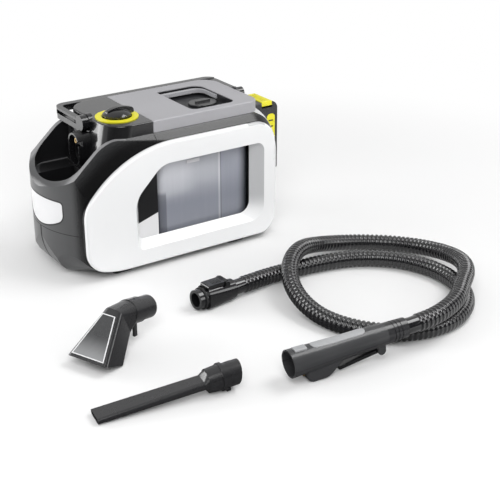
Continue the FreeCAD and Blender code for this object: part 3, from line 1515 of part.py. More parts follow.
def make_hose_pieces():
    cuff_end = Vector(*hose_route[-1])
    mouth = back_from(cuff_end, Vector(*gun_mouth), gun_length)
    for name, maker in (("gun_upper", gun_upper), ("gun_lower", gun_lower), ("gun_cuff", gun_cuff),
                        ("gun_grip_pad", gun_grip_pad), ("gun_release_button", gun_button),
                        ("gun_trigger", gun_trigger), ("spray_jet", spray_jet)):
        save(name, lay(maker(), mouth, cuff_end))
    plug_end = Vector(*hose_route[0])
    plug = back_from(plug_end, Vector(*connector_front), connector_length)
    for name, maker in (("hose_connector", hose_connector), ("connector_seal", connector_seal),
                        ("connector_latch", connector_latch)):
        save(name, lay(maker(), plug, plug_end))
    save("suction_hose", suction_hose())


def make_nozzles():
    heading = math.radians(hand_nozzle_heading)
    start = Vector(*hand_nozzle_place)
    end = start + Vector(math.cos(heading), math.sin(heading), 0)
    save("hand_nozzle_body", lay(hand_nozzle_body(), start, end))
    save("hand_nozzle_window", lay(hand_nozzle_window(), start, end))
    save("crevice_nozzle", lay(crevice_nozzle(), Vector(*crevice_tip), Vector(*crevice_end)))


if __name__ == "__main__":
    os.makedirs("parts", exist_ok=True)
    make_body_pieces()
    make_inner_pieces()
    make_moving_pieces()
    make_hose_pieces()
    make_nozzles()
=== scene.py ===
"""Looks for the battery spot extractor: finishes, hose, small fittings, floor, lamps and camera.

Metres, +Z up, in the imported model's own frame. -Y is the near side, -X the bin end.
"""
import bpy
import bmesh
import math
from mathutils import Matrix, Vector


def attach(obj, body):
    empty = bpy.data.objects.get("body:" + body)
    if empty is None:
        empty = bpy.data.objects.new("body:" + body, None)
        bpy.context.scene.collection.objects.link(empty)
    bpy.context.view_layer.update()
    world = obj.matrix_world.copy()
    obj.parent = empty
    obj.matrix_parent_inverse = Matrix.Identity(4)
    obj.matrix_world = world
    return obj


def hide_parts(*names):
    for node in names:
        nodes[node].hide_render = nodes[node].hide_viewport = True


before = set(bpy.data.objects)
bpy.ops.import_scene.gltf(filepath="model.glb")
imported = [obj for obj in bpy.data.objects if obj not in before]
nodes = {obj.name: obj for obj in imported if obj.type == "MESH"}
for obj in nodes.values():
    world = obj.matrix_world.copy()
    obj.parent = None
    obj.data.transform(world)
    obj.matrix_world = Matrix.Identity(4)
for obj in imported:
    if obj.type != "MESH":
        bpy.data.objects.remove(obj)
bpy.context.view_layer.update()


def placed(name, data):
    """A new object in the scene, at the origin."""
    made = bpy.data.objects.new(name, data)
    bpy.context.scene.collection.objects.link(made)
    return made


def shaped(name, shape, material):
    """The built mesh as an object in the scene, in one material."""
    mesh = bpy.data.meshes.new(name)
    shape.to_mesh(mesh)
    shape.free()
    mesh.materials.append(material)
    return placed(name, mesh)


# ---------------------------------------------------------------- camera
# The view that the set is shown from: place, heading from +Y and downward tilt
camera_place = Vector((-0.87937, -1.57460, 0.79964))
camera_heading = math.radians(-34.152)
camera_tilt = math.radians(24.582)
camera_lens_mm = 81.36
camera_sensor_mm = 36.0


def add_camera():
    data = bpy.data.cameras.new("view_camera")
    data.sensor_width = camera_sensor_mm
    data.lens = camera_lens_mm
    data.clip_end = 50.0
    camera = placed("view_camera", data)
    forward = Vector((-math.sin(camera_heading) * math.cos(camera_tilt),
                      math.cos(camera_heading) * math.cos(camera_tilt), -math.sin(camera_tilt)))
    camera.location = camera_place
    camera.rotation_euler = forward.to_track_quat("-Z", "Y").to_euler()
    bpy.context.scene.camera = camera


# ---------------------------------------------------------------- shader maths
class Value:
    """A number socket; arithmetic on it adds Math nodes."""

    def __init__(self, finish, socket):
        self.finish = finish
        self.socket = socket

    def _math(self, operation, first, second=0.0):
        made = self.finish.node("ShaderNodeMath", {"operation": operation}, {0: first, 1: second})
        return Value(self.finish, made.outputs[0])

    def __add__(self, other):
        return self._math("ADD", self, other)

    __radd__ = __add__

    def __mul__(self, other):
        return self._math("MULTIPLY", self, other)

    __rmul__ = __mul__

    def __sub__(self, other):
        return self._math("SUBTRACT", self, other)

    def __rsub__(self, other):
        return self._math("SUBTRACT", other, self)

    def most(self, other):
        return self._math("MAXIMUM", self, other)

    def size(self):
        return self._math("ABSOLUTE", self)

    def root(self):
        return self._math("SQRT", self)

    def folded(self, reach):
        """Runs to and fro between 0 and reach."""
        return self._math("PINGPONG", self, reach)

    def clamped(self):
        made = self.finish.node("ShaderNodeClamp", {}, {0: self, 1: 0.0, 2: 1.0})
        return Value(self.finish, made.outputs[0])


class Finish:
    """One material: a Principled surface with nodes added by plain calls."""

    def __init__(self, name, **surface):
        self.material = bpy.data.materials.new(name)
        self.material.use_nodes = True
        self.tree = self.material.node_tree
        self.surface = self.tree.nodes["Principled BSDF"]
        for socket, value in surface.items():
            self.set(socket.replace("_", " "), value)

    def _join(self, socket, value):
        if isinstance(value, Value):
            self.tree.links.new(value.socket, socket)
        elif isinstance(value, bpy.types.NodeSocket):
            self.tree.links.new(value, socket)
        elif isinstance(value, (tuple, list)) and socket.type == "RGBA":
            socket.default_value = tuple(value) + (1.0,) * (4 - len(value))
        else:
            socket.default_value = value

    def node(self, kind, settings=None, sockets=None):
        made = self.tree.nodes.new(kind)
        for name, value in (settings or {}).items():
            setattr(made, name, value)
        for name, value in (sockets or {}).items():
            self._join(made.inputs[name], value)
        return made

    def set(self, socket, value):
        self._join(self.surface.inputs[socket], value)

    def place(self):
        return self.node("ShaderNodeTexCoord").outputs["Object"]

    def axes(self):
        parts = self.node("ShaderNodeSeparateXYZ", {}, {0: self.place()})
        return [Value(self, parts.outputs[k]) for k in range(3)]

    def along(self, direction):
        """Distance of the point along one direction."""
        made = self.node("ShaderNodeVectorMath", {"operation": "DOT_PRODUCT"},
                         {0: self.place(), 1: tuple(direction)})
        return Value(self, made.outputs["Value"])

    def facing(self, axis):
        """How far the surface is turned along one axis."""
        normal = self.node("ShaderNodeNewGeometry").outputs["Normal"]
        parts = self.node("ShaderNodeSeparateXYZ", {}, {0: normal})
        return Value(self, parts.outputs[axis])

    def band(self, value, low, high):
        """Rises smoothly from 0 at one place to 1 at the other."""
        made = self.node("ShaderNodeMapRange", {"clamp": True, "interpolation_type": "SMOOTHSTEP"},
                         {0: value, 1: low, 2: high, 3: 0.0, 4: 1.0})
        return Value(self, made.outputs[0])

    def between(self, value, low, high, soft=0.0003):
        """1 between two places, with soft ends."""
        above = self.band(value, low - soft, low + soft)
        return above * (1.0 - self.band(value, high - soft, high + soft))

    def stretched(self, x, y, z):
        """Coordinates for a pattern that is drawn out along one axis."""
        made = self.node("ShaderNodeMapping", {}, {"Vector": self.place(), "Scale": (x, y, z)})
        return made.outputs[0]

    def noise(self, scale, detail=3.0, roughness=0.5, place=None):
        made = self.node("ShaderNodeTexNoise", {}, {"Vector": place or self.place(), "Scale": scale,
                                                    "Detail": detail, "Roughness": roughness})
        return Value(self, made.outputs["Fac"])

    def blend(self, share, first, second):
        """Mix of two colours; 6, 7 and 2 are the node's colour sockets."""
        made = self.node("ShaderNodeMix", {"data_type": "RGBA"}, {0: share, 6: first, 7: second})
        return made.outputs[2]

    def bump(self, height, distance):
        wanted = {"Strength": 1.0, "Distance": distance, "Height": height}
        self.set("Normal", self.node("ShaderNodeBump", {}, wanted).outputs[0])


flow_scale = 9.0
wear_scale = 38.0
spark_scale = 2600.0
streak_scale = 420.0


def shade(level):
    return (level, level, level)


def scaled(colour, share):
    return tuple(c * share for c in colour)


def moulded(name, colour, roughness, grain=0.00003, mottle=0.10, coat=0.0, marks=()):
    """Moulded plastic: fine spark texture, faint flow mottling and handling wear.

    Each mark is (mask maker, colour, roughness); it lies over the plain finish.
    """
    finish = Finish(name, Coat_Weight=coat, Coat_Roughness=0.08, IOR=1.50)
    flow = finish.noise(flow_scale, 3.0)
    fine = finish.noise(spark_scale, 2.0, 0.6)
    wear = finish.noise(wear_scale, 4.0, 0.62)
    deep, pale = scaled(colour, 1.0 - mottle), scaled(colour, 1.0 + mottle * 0.6)
    paint = finish.blend(finish.band(flow, 0.32, 0.68), deep, pale)
    rough = fine * 0.04 + wear * 0.08 + (roughness - 0.06)
    for mask_of, mark_colour, mark_roughness in marks:
        mask = mask_of(finish)
        paint = finish.blend(mask, paint, mark_colour)
        rough = rough * (1.0 - mask) + mask * mark_roughness
    finish.set("Base Color", paint)
    finish.set("Roughness", rough.clamped())
    finish.bump(fine, grain)
    return finish.material


# ---------------------------------------------------------------- marks on the shell and parts: joints, print, painted shade and painted highlight
# Places read off the imported model
bin_front_x = -0.2150
bow_centre_x = -0.0896
keel_rear_x = -0.1010
deck_seam_x = -0.0500
base_seam_z = 0.0800
divider_x = 0.0740

# The gun's own directions: along it from its mouth, and up
gun_start = Vector((-0.0990, -0.5165, 0.0303))
gun_line = (Vector((0.0835, -0.5410, 0.0420)) - gun_start).normalized()
gun_up = (Vector((0.0, 0.0, 1.0)) - gun_line * gun_line.z).normalized()
gun_seam_drop = 0.0040


def side_shade_band(finish):
    """Painted shade on the sides around the white panels, where the shell is not turned upwards."""
    y = finish.axes()[1]
    return finish.band(y.size(), 0.072, 0.088) * finish.band(finish.facing(1).size(), 0.30, 0.60)


def rim_highlight(finish):
    """Painted highlight on the upturned rim along both sides of the bin, on its upward faces."""
    x, y, _ = finish.axes()
    upward = finish.band(finish.facing(2), 0.50, 0.70)
    return finish.band(y.size(), 0.060, 0.074) * upward * finish.between(x, bin_front_x, -0.100)


def bin_shade(finish):
    """Painted shade on the walls and floors of the open bin behind its bowed front rim."""
    x, y, z = finish.axes()
    over = x - bow_centre_x
    reach = (over * over + y * y).root()
    behind = finish.between(x, bin_front_x, -0.1262)
    side = y.size()
    walls = (1.0 - finish.band(reach, 0.1210, 0.1216)) * (1.0 - finish.band(side, 0.0712, 0.0718))
    floors = (1.0 - finish.band(reach, 0.1130, 0.1150)) * (1.0 - finish.band(side, 0.0640, 0.0660))
    upright = 1.0 - finish.band(finish.facing(2), 0.30, 0.45)
    return (walls * upright).most(floors) * behind * finish.band(z, 0.0985, 0.0990)


def shell_seams(finish):
    """Fine joints: base halves, base to housing, housing to deck, and the rim's inner liner."""
    x, y, z = finish.axes()
    front = 1.0 - finish.band(x, keel_rear_x, keel_rear_x + 0.001)
    below = 1.0 - finish.band(z, base_seam_z - 0.0002, base_seam_z)
    keel = finish.between(y, -0.0042, 0.0006) * front * below
    belt = finish.between(z, base_seam_z - 0.0006, base_seam_z + 0.0006) * front
    wide = finish.band(y.size(), 0.0800, 0.0803)
    split = finish.between(x, deck_seam_x - 0.0005, deck_seam_x + 0.0005) * wide
    split = split * finish.band(z, 0.150, 0.151)
    upward = finish.band(finish.facing(2), 0.4, 0.6)
    liner = finish.between(y.size(), 0.0792, 0.0800) * finish.between(x, -0.180, -0.120) * upward
    return keel.most(belt).most(split).most(liner)


def panel_root_shade(finish):
    """Painted shade on the white panel's edge close to the body, dark as the shaded band round it."""
    x, y, z = finish.axes()
    window = finish.between(x, -0.106, 0.158) * finish.between(z, 0.029, 0.186)
    return (1.0 - window) * (1.0 - finish.band(y.size(), 0.0930, 0.0936))


def recess_wall_shade(finish):
    """Painted shade on the slanted wall at the right of the window, a darker grey that fades out
    downwards.
    """
    x, _, z = finish.axes()
    slanted = 1.0 - finish.band(finish.facing(1).size(), 0.93, 0.98)
    return finish.between(x, 0.118, 0.1515) * finish.band(z, 0.050, 0.085) * slanted


def tray_tone_and_shade(finish):
    """The sunken tray in the lid: walls and floor below the lid's top, in a darker tone of their own
    deepened by painted shade.
    """
    x, y, z = finish.axes()
    plan = finish.between(x, 0.0305, 0.1185) * finish.between(y, -0.0665, 0.0555)
    return plan * finish.between(z, 0.2300, 0.2425)


# The tray's walls, not turned upwards: the same dark tone and painted shade, in their own roughness.
def tray_wall_tone_and_shade(finish):
    return tray_tone_and_shade(finish) * (1.0 - finish.band(finish.facing(2), 0.30, 0.50))


def label_foot(finish):
    """Lower part of the side label, below a rising edge."""
    return 1.0 - finish.band(finish.along((-0.304, 0.0, 0.953)), 0.1017, 0.1021)


def gun_seam(finish):
    """Joint between the two halves of the gun."""
    over = finish.along(gun_up) - (gun_start.dot(gun_up) - gun_seam_drop)
    return finish.between(over, -0.0003, 0.0003, 0.0001)


def stripe_row(low, high, axis, count):
    """Evenly spaced fine dark lines along one axis."""
    def mask_of(finish):
        value = finish.axes()[axis]
        pitch = (high - low) / count
        lines = finish.band((value - low).folded(pitch / 2.0), pitch * 0.36, pitch * 0.42)
        return lines * finish.between(value, low, high)
    return mask_of


# ---------------------------------------------------------------- finishes
def clear_tank_finish():
    """Smoky clear tank: pale above, deeper below, a painted highlight on the divider's ridge with a
    painted shadow beside it, and painted shade at its rear and foot.
    """
    finish = Finish("tank_clear", IOR=1.49, Coat_Weight=0.45, Coat_Roughness=0.05)
    x, _, z = finish.axes()
    streaks = finish.noise(1.0, 3.0, 0.6, finish.stretched(150.0, 150.0, 5.0))
    haze = finish.noise(11.0, 2.0)
    high = finish.band(z, 0.085, 0.150)
    level = finish.band(z, 0.100, 0.122) * (1.0 - finish.band(x, -0.005, 0.040))
    rise = (high * 0.62 + level * 0.38 + (streaks - 0.5) * 0.18 + (haze - 0.5) * 0.12).clamped()
    paint = finish.blend(rise, (0.265, 0.278, 0.322), (0.590, 0.600, 0.640))
    beyond = finish.band(x, divider_x, divider_x + 0.0020)
    far = finish.blend(rise, (0.255, 0.268, 0.312), (0.430, 0.445, 0.505))
    paint = finish.blend(beyond, paint, far)
    corner = (1.0 - finish.band(x, -0.0310, -0.0290)) * (1.0 - finish.band(z, 0.112, 0.122))
    paint = finish.blend(corner * 0.55, paint, (0.075, 0.080, 0.100))
    # Painted highlight on the divider's ridge, then a painted shadow just beyond it.
    ridge_highlight = finish.between(x, divider_x - 0.0028, divider_x + 0.0008, 0.0005)
    paint = finish.blend(ridge_highlight * (high * 0.5 + 0.35), paint, (0.640, 0.650, 0.680))
    shadow = finish.between(x, divider_x + 0.0018, divider_x + 0.0028, 0.0004) * 0.7
    paint = finish.blend(shadow, paint, (0.060, 0.065, 0.080))
    # Painted shade at the tank's rear and foot, by the window's recess.
    dark = finish.band(x, 0.1080, 0.1310).most(1.0 - finish.band(z, 0.0440, 0.0500))
    paint = finish.blend(dark, paint, (0.006, 0.008, 0.011))
    finish.set("Base Color", paint)
    finish.set("Roughness", haze * 0.05 + 0.10)
    finish.set("Alpha", 0.93)
    return finish.material


def clear_face_finish():
    """Smoky clear front of the hand nozzle, lighter towards the lip with painted light of the floor seen
    through it.
    """
    finish = Finish("window_clear", IOR=1.49, Coat_Weight=0.40, Coat_Roughness=0.04)
    z = finish.axes()[2]
    haze = finish.noise(40.0, 3.0)
    fine = finish.noise(1.0, 3.0, 0.6, finish.stretched(160.0, 160.0, 40.0))
    # Painted light of the floor seen through the face, rising towards the lip.
    low = 1.0 - finish.band(z, 0.018, 0.044)
    rise = (low + (haze - 0.5) * 0.15 + (fine - 0.5) * 0.10).clamped()
    finish.set("Base Color", finish.blend(rise, (0.055, 0.056, 0.058), (0.30, 0.305, 0.31)))
    finish.set("Roughness", haze * 0.06 + 0.12)
    finish.set("Alpha", 0.90)
    return finish.material


def metal(name, colour, roughness):
    """Bare metal, faintly streaked."""
    finish = Finish(name, Metallic=1.0)
    streak = finish.noise(streak_scale, 2.0)
    finish.set("Base Color", finish.blend(streak, scaled(colour, 0.85), colour))
    finish.set("Roughness", streak * 0.12 + roughness)
    return finish.material


# The first colour is painted shade for the white panels' root by the body; groove is the dark of real
# joints.
root_shade_black = (0.0055, 0.0055, 0.0060)
groove = (0.0015, 0.0015, 0.0016)
# The shell's marks: painted highlight on the rim's top, painted shade on the sides round the panels and
# inside the bin, and dark joints.
shell_marks = ((rim_highlight, (0.22, 0.22, 0.225), 0.28), (side_shade_band, (0.0030, 0.0030, 0.0034), 0.26),
               (bin_shade, (0.007, 0.007, 0.008), 0.42), (shell_seams, groove, 0.70))

dark_shell = moulded("dark_shell", (0.058, 0.059, 0.061), 0.30, marks=shell_marks)
tower_shell = moulded("tower_shell", (0.0060, 0.0060, 0.0068), 0.22, 0.00001, coat=0.75)
tool_shell = moulded("tool_shell", (0.016, 0.016, 0.0175), 0.28, 0.00002, coat=0.60)
# The white panel carries painted shade on the window's slanted wall and at its root by the body.
white_panel = moulded("white_panel", (0.815, 0.820, 0.825), 0.24, 0.0, 0.006, coat=0.25,
                      marks=((recess_wall_shade, (0.50, 0.505, 0.515), 0.24),
                             (panel_root_shade, root_shade_black, 0.40)))
cover_white = moulded("cover_white", (0.80, 0.805, 0.81), 0.26, 0.0, 0.006, coat=0.20)
plate_white = moulded("plate_white", (0.70, 0.70, 0.71), 0.24, 0.0, 0.006, coat=0.20)
# The lid's tray is a darker tone of its own, deepened by painted shade.
lid_grey = moulded("lid_grey", (0.360, 0.357, 0.376), 0.38, 0.00001, 0.03, coat=0.10,
                   marks=((tray_tone_and_shade, (0.012, 0.0125, 0.015), 0.45),
                          (tray_wall_tone_and_shade, (0.014, 0.014, 0.016), 0.30)))
catch_grey = moulded("catch_grey", (0.62, 0.62, 0.64), 0.35, 0.0, 0.02)
bail_grey = moulded("bail_grey", (0.40, 0.40, 0.42), 0.26, 0.00001, 0.03, coat=0.25)
yellow = moulded("yellow", (0.80, 0.74, 0.020), 0.34, 0.00001, 0.02)
gloss_black = moulded("gloss_black", (0.010, 0.010, 0.011), 0.15, 0.0, 0.05, coat=0.6)
satin_black = moulded("satin_black", (0.018, 0.018, 0.020), 0.28, 0.00002, coat=0.40)
gun_shell = moulded("gun_shell", (0.036, 0.0365, 0.039), 0.40, 0.00002, coat=0.45,
                    marks=((gun_seam, groove, 0.6),))
pad_grey = moulded("pad_grey", (0.36, 0.365, 0.375), 0.50, 0.00004, 0.04)
soft_rubber = moulded("soft_rubber", (0.014, 0.014, 0.015), 0.60, 0.00006)
hose_black = moulded("hose_black", (0.008, 0.008, 0.009), 0.15, 0.00001, coat=0.9)
inner_grey = moulded("inner_grey", (0.08, 0.08, 0.085), 0.50)
inner_black = moulded("inner_black", (0.010, 0.010, 0.011), 0.45)
label_sheet = moulded("label_sheet", (0.008, 0.008, 0.009), 0.34, 0.0,
                      marks=((label_foot, (0.72, 0.72, 0.73), 0.34),))
board_green = moulded("board_green", (0.02, 0.10, 0.04), 0.45, 0.00001,
                      marks=((stripe_row(0.112, 0.203, 2, 14), (0.30, 0.26, 0.09), 0.3),))
tank_clear = clear_tank_finish()
window_clear = clear_face_finish()
# A pale strip as a painted highlight: the glint on the polished edge of the nozzle's clear face.
edge_glint = moulded("edge_glint", (0.78, 0.78, 0.79), 0.18, 0.0, 0.01, coat=0.3)
brass = metal("brass", (0.72, 0.52, 0.24), 0.28)
steel = metal("steel", (0.58, 0.58, 0.60), 0.30)

finish_of = {
    dark_shell: ("base_half_near", "base_half_far", "front_housing", "deck_frame"),
    tower_shell: ("tower_cover", "carry_handle", "hose_socket"),
    tool_shell: ("hand_nozzle_body", "crevice_nozzle"),
    white_panel: ("side_panel_near", "side_panel_far"),
    cover_white: ("rear_cover", "float_ball"),
    plate_white: ("front_plate",),
    lid_grey: ("tank_lid",),
    bail_grey: ("tank_bail",),
    yellow: ("knob_ring", "battery_grips", "battery_release"),
    gloss_black: ("mode_knob", "hose_connector", "connector_latch", "gun_trigger"),
    satin_black: ("battery_pack", "gun_cuff", "filler_cap"),
    gun_shell: ("gun_upper", "gun_lower"),
    pad_grey: ("gun_grip_pad", "gun_release_button"),
    soft_rubber: ("rubber_feet", "connector_seal", "lid_seal", "tank_seat"),
    inner_grey: ("battery_dock", "knob_switch", "turbine_housing", "turbine_impeller",
                 "water_pump", "water_filter", "float_cage"),
    inner_black: ("air_duct",),
    label_sheet: ("side_label",),
    board_green: ("control_board",),
    tank_clear: ("clear_tank",),
    window_clear: ("hand_nozzle_window",),
    brass: ("water_coupling", "spray_jet"),
    steel: ("suction_motor", "handle_pivot_pins"),
}


def finish_nodes():
    for material, names in finish_of.items():
        for name in names:
            for slot in nodes[name].material_slots:
                slot.material = material


# ---------------------------------------------------------------- hose
rib_count = 210
rib_crest = 0.0135
rib_valley = 0.0119
rib_middle = 0.62
rib_swing = 0.90
plain_end = 0.020
rings_per_rib = 9
sides_of_ring = 28

# Route from the connector to the gun's cuff, in millimetres
hose_points = (
    (-22.0, -260.5, 17.0), (17.9, -257.609, 16.422), (61.0, -251.0, 13.9), (110.0, -254.2, 13.8),
    (159.7, -260.5, 13.6), (208.4, -274.8, 13.6), (249.8, -303.5, 13.8), (279.1, -344.6, 13.9),
    (291.6, -393.5, 13.8), (284.9, -443.5, 13.8), (259.9, -487.3, 13.8), (220.0, -518.1, 13.7),
    (172.0, -530.5, 13.7), (123.1, -522.6, 13.7), (81.2, -496.2, 13.8), (51.4, -456.5, 13.8),
    (35.7, -407.5, 15.1), (35.2, -356.5, 24.0), (50.9, -310.2, 35.6), (81.6, -271.8, 43.8),
    (122.2, -242.9, 42.7), (167.5, -222.8, 29.2), (217.6, -219.4, 18.6), (266.7, -235.1, 13.6),
    (306.1, -269.7, 13.6), (328.2, -317.0, 18.1), (330.8, -367.8, 26.2), (315.4, -415.9, 35.8),
    (284.1, -458.6, 43.4), (242.3, -490.3, 44.4), (204.2, -522.0, 45.8), (158.7, -540.8, 45.8),
    (116.8, -545.47, 44.135), (83.5, -541.0, 42.0))


def hose_line():
    """Centreline of the hose, one open smooth spline."""
    curve = bpy.data.curves.new("hose_line", "CURVE")
    curve.dimensions = "3D"
    curve.resolution_u = 12
    spline = curve.splines.new("NURBS")
    spline.points.add(len(hose_points) - 1)
    for point, spot in zip(spline.points, hose_points):
        point.co = tuple(c / 1000.0 for c in spot) + (1.0,)
    spline.order_u = 3
    spline.use_endpoint_u = True
    return placed("hose_line", curve)


def plain_mesh(source, name):
    """The evaluated object, as a plain mesh in an object of its own."""
    bpy.context.view_layer.update()
    graph = bpy.context.evaluated_depsgraph_get()
    mesh = bpy.data.meshes.new_from_object(source.evaluated_get(graph), depsgraph=graph)
    return placed(name, mesh)


class Tree:
    """Geometry node tree with named inputs, added node by node."""

    def __init__(self, name, **inputs):
        self.group = bpy.data.node_groups.new(name, "GeometryNodeTree")
        face = self.group.interface
        face.new_socket("Geometry", in_out="INPUT", socket_type="NodeSocketGeometry")
        face.new_socket("Geometry", in_out="OUTPUT", socket_type="NodeSocketGeometry")
        for label, value in inputs.items():
            kind = "NodeSocketInt" if isinstance(value, int) else "NodeSocketFloat"
            socket = face.new_socket(label, in_out="INPUT", socket_type=kind)
            socket.default_value = value
        self.start = self.group.nodes.new("NodeGroupInput")
        self.end = self.group.nodes.new("NodeGroupOutput")

    def node(self, kind, sockets, **settings):
        node = self.group.nodes.new(kind)
        for name, value in settings.items():
            setattr(node, name, value)
        for name, value in sockets.items():
            if isinstance(value, bpy.types.NodeSocket):
                self.group.links.new(value, node.inputs[name])
            else:
                node.inputs[name].default_value = value
        return node

    def made(self, kind, output=0, **sockets):
        """What a geometry node gives; an underscore stands for the space in a socket's name."""
        named = {name.replace("_", " "): value for name, value in sockets.items()}
        return self.node("GeometryNode" + kind, named).outputs[output]

    def maths(self, operation, first, second=0.0):
        return self.node("ShaderNodeMath", {0: first, 1: second}, operation=operation).outputs[0]

    def vector(self, x, y=0.0, z=0.0):
        return self.node("ShaderNodeCombineXYZ", {"X": x, "Y": y, "Z": z}).outputs[0]

    def joined(self, pieces):
        node = self.node("GeometryNodeJoinGeometry", {})
        for piece in pieces:
            self.group.links.new(piece, node.inputs[0])
        return node.outputs[0]

    def finish(self, geometry, material):
        real = self.made("RealizeInstances", Geometry=geometry)
        dressed = self.made("SetMaterial", Geometry=real, Material=material)
        self.group.links.new(dressed, self.end.inputs[0])

    def put_on(self, target):
        target.modifiers.new("shape", "NODES").node_group = self.group


def make_hose():
    """Ribbed hose: a tube whose radius rises and falls along the spline."""
    line = hose_line()
    bare = plain_mesh(line, "hose_path")
    path = [tuple(v.co) for v in bare.data.vertices]
    length = sum((Vector(a) - Vector(b)).length for a, b in zip(path, path[1:]))
    bpy.data.objects.remove(bare)
    tree = Tree("hose_ribs", Ribs=rib_count, Valley=rib_valley, Crest=rib_crest, Length=length,
                Plain_End=plain_end)
    given = tree.start.outputs
    place = tree.made("SplineParameter", "Length")
    plain = given["Plain_End"]
    span = tree.maths("SUBTRACT", given["Length"], tree.maths("MULTIPLY", plain, 2.0))
    reached = tree.maths("MULTIPLY", tree.maths("SUBTRACT", place, plain), given["Ribs"])
    turns = tree.maths("DIVIDE", reached, span)
    wave = tree.maths("COSINE", tree.maths("MULTIPLY", turns, 2.0 * math.pi))
    rise = tree.maths("SUBTRACT", rib_middle, tree.maths("MULTIPLY", wave, rib_swing))
    share = tree.node("ShaderNodeClamp", {0: rise, 1: 0.0, 2: 1.0}).outputs[0]
    after = tree.maths("GREATER_THAN", place, plain)
    before = tree.maths("LESS_THAN", place, tree.maths("SUBTRACT", given["Length"], plain))
    share = tree.maths("MULTIPLY", share, tree.maths("MULTIPLY", after, before))
    depth = tree.maths("SUBTRACT", given["Crest"], given["Valley"])
    radius = tree.maths("ADD", given["Valley"], tree.maths("MULTIPLY", share, depth))
    even = tree.made("ResampleCurve", Curve=given["Geometry"], Count=rib_count * rings_per_rib)
    sized = tree.made("SetCurveRadius", Curve=even, Radius=radius)
    ring = tree.made("CurvePrimitiveCircle", Resolution=sides_of_ring, Radius=1.0)
    tube = tree.made("CurveToMesh", Curve=sized, Profile_Curve=ring, Scale=tree.made("InputRadius"),
                     Fill_Caps=True)
    tree.finish(tree.made("SetShadeSmooth", Geometry=tube), hose_black)
    tree.put_on(line)
    hose = plain_mesh(line, "ribbed_hose")
    bpy.data.objects.remove(line)
    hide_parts("suction_hose")
    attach(hose, "hose_set")


# ---------------------------------------------------------------- edge strips
weld_reach = 0.00001
outer_turn = 0.6


def outline_of(name, direction):
    """Points and outward normals in order round the node's faces that look one way, and their centre."""
    shape = bmesh.new()
    shape.from_mesh(nodes[name].data)
    bmesh.ops.remove_doubles(shape, verts=shape.verts, dist=weld_reach)
    shape.normal_update()
    chosen = {f for f in shape.faces if f.normal.dot(direction) > outer_turn}
    rim = [e for e in shape.edges if len([f for f in e.link_faces if f in chosen]) == 1]
    links = {}
    for edge in rim:
        for vert in edge.verts:
            links.setdefault(vert, []).append(edge)
    loops = []
    left = set(rim)
    while left:
        edge = next(e for e in rim if e in left)
        vert = edge.verts[0]
        loop = []
        while edge in left:
            left.discard(edge)
            loop.append(vert)
            vert = edge.other_vert(vert)
            onward = [e for e in links[vert] if e in left]
            if not onward:
                break
            edge = onward[0]
        loops.append(loop)
    longest = max(loops, key=lambda row: sum((a.co - b.co).length
                                             for a, b in zip(row, row[1:] + row[:1])))
    rows = []
    for vert in longest:
        normal = sum((f.normal * f.calc_area() for f in vert.link_faces if f in chosen), Vector())
        rows.append((vert.co.copy(), normal.normalized()))
    shape.free()
    centre = sum((spot for spot, _ in rows), Vector()) / len(rows)
    return rows, centre


def edge_strip(name, node, direction, inner, outer, low, high, material, body):
    """A closed strip of even width that follows a node's outline on its outer face.

    inner and outer are its edges, measured outwards from the outline, and low and high
    its under side and top, measured from the face.
    """
    rows, centre = outline_of(node, Vector(direction).normalized())
    shape = bmesh.new()
    rings = []
    count = len(rows)
    for k, (spot, normal) in enumerate(rows):
        before = (spot - rows[k - 1][0]).normalized()
        after = (rows[(k + 1) % count][0] - spot).normalized()
        sides = [normal.cross(t).normalized() for t in (before, after)]
        sides = [side if side.dot(spot - centre) > 0 else -side for side in sides]
        way = (sides[0] + sides[1]).normalized()
        way = way / max(0.5, way.dot(sides[0]))
        rings.append([shape.verts.new(spot + way * reach + normal * lift)
                      for reach, lift in ((inner, low), (outer, low), (outer, high), (inner, high))])
    for k in range(count):
        for c in range(4):
            first, second = rings[k], rings[(k + 1) % count]
            shape.faces.new((first[c], first[(c + 1) % 4], second[(c + 1) % 4], second[c]))
    bmesh.ops.recalc_face_normals(shape, faces=shape.faces)
    strip = shaped(name, shape, material)
    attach(strip, body)


def add_strips():
    edge_strip("plate_groove", "front_plate", (-1.0, 0.0, 0.0), inner=0.0003, outer=0.0024,
               low=-0.0006, high=0.00045, material=inner_black, body="machine")
    # The nozzle window's strip is a painted highlight along its polished edge.
    edge_strip("nozzle_window_glint", "hand_nozzle_window", (-0.6, -0.35, 0.7), inner=-0.0013,
               outer=0.0001, low=-0.0005, high=0.0004, material=edge_glint, body="hand_nozzle")


# ---------------------------------------------------------------- ridges, screws, catch
top_turn = 0.97
top_depth = 0.0006
ridge_height = 0.00035
ridge_half = 0.34


def top_of(name, up, along):
    """The node's highest flat faces: their middle, the way across, and their run and width."""
    mesh = nodes[name].data
    faces = [f for f in mesh.polygons if f.normal.dot(up) > top_turn]
    crown = max(f.center.dot(up) for f in faces)
    faces = [f for f in faces if f.center.dot(up) > crown - top_depth]
    spots = [mesh.vertices[v].co for f in faces for v in f.vertices]
    across = up.cross(along).normalized()
    middle = Vector()
    reach = []
    for way in (along, across, up):
        runs = [spot.dot(way) for spot in spots]
        middle += way * (min(runs) + max(runs)) / 2.0
        reach.append(max(runs) - min(runs))
    return middle, across, reach[0], reach[1]


def scattered(name, tree, place, body):
    """The tree's result on an empty mesh, as a plain mesh at its place, riding on a body."""
    blank = placed(name + "_blank", bpy.data.meshes.new(name + "_blank"))
    tree.put_on(blank)
    made = plain_mesh(blank, name)
    bpy.data.objects.remove(blank)
    made.data.transform(place)
    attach(made, body)


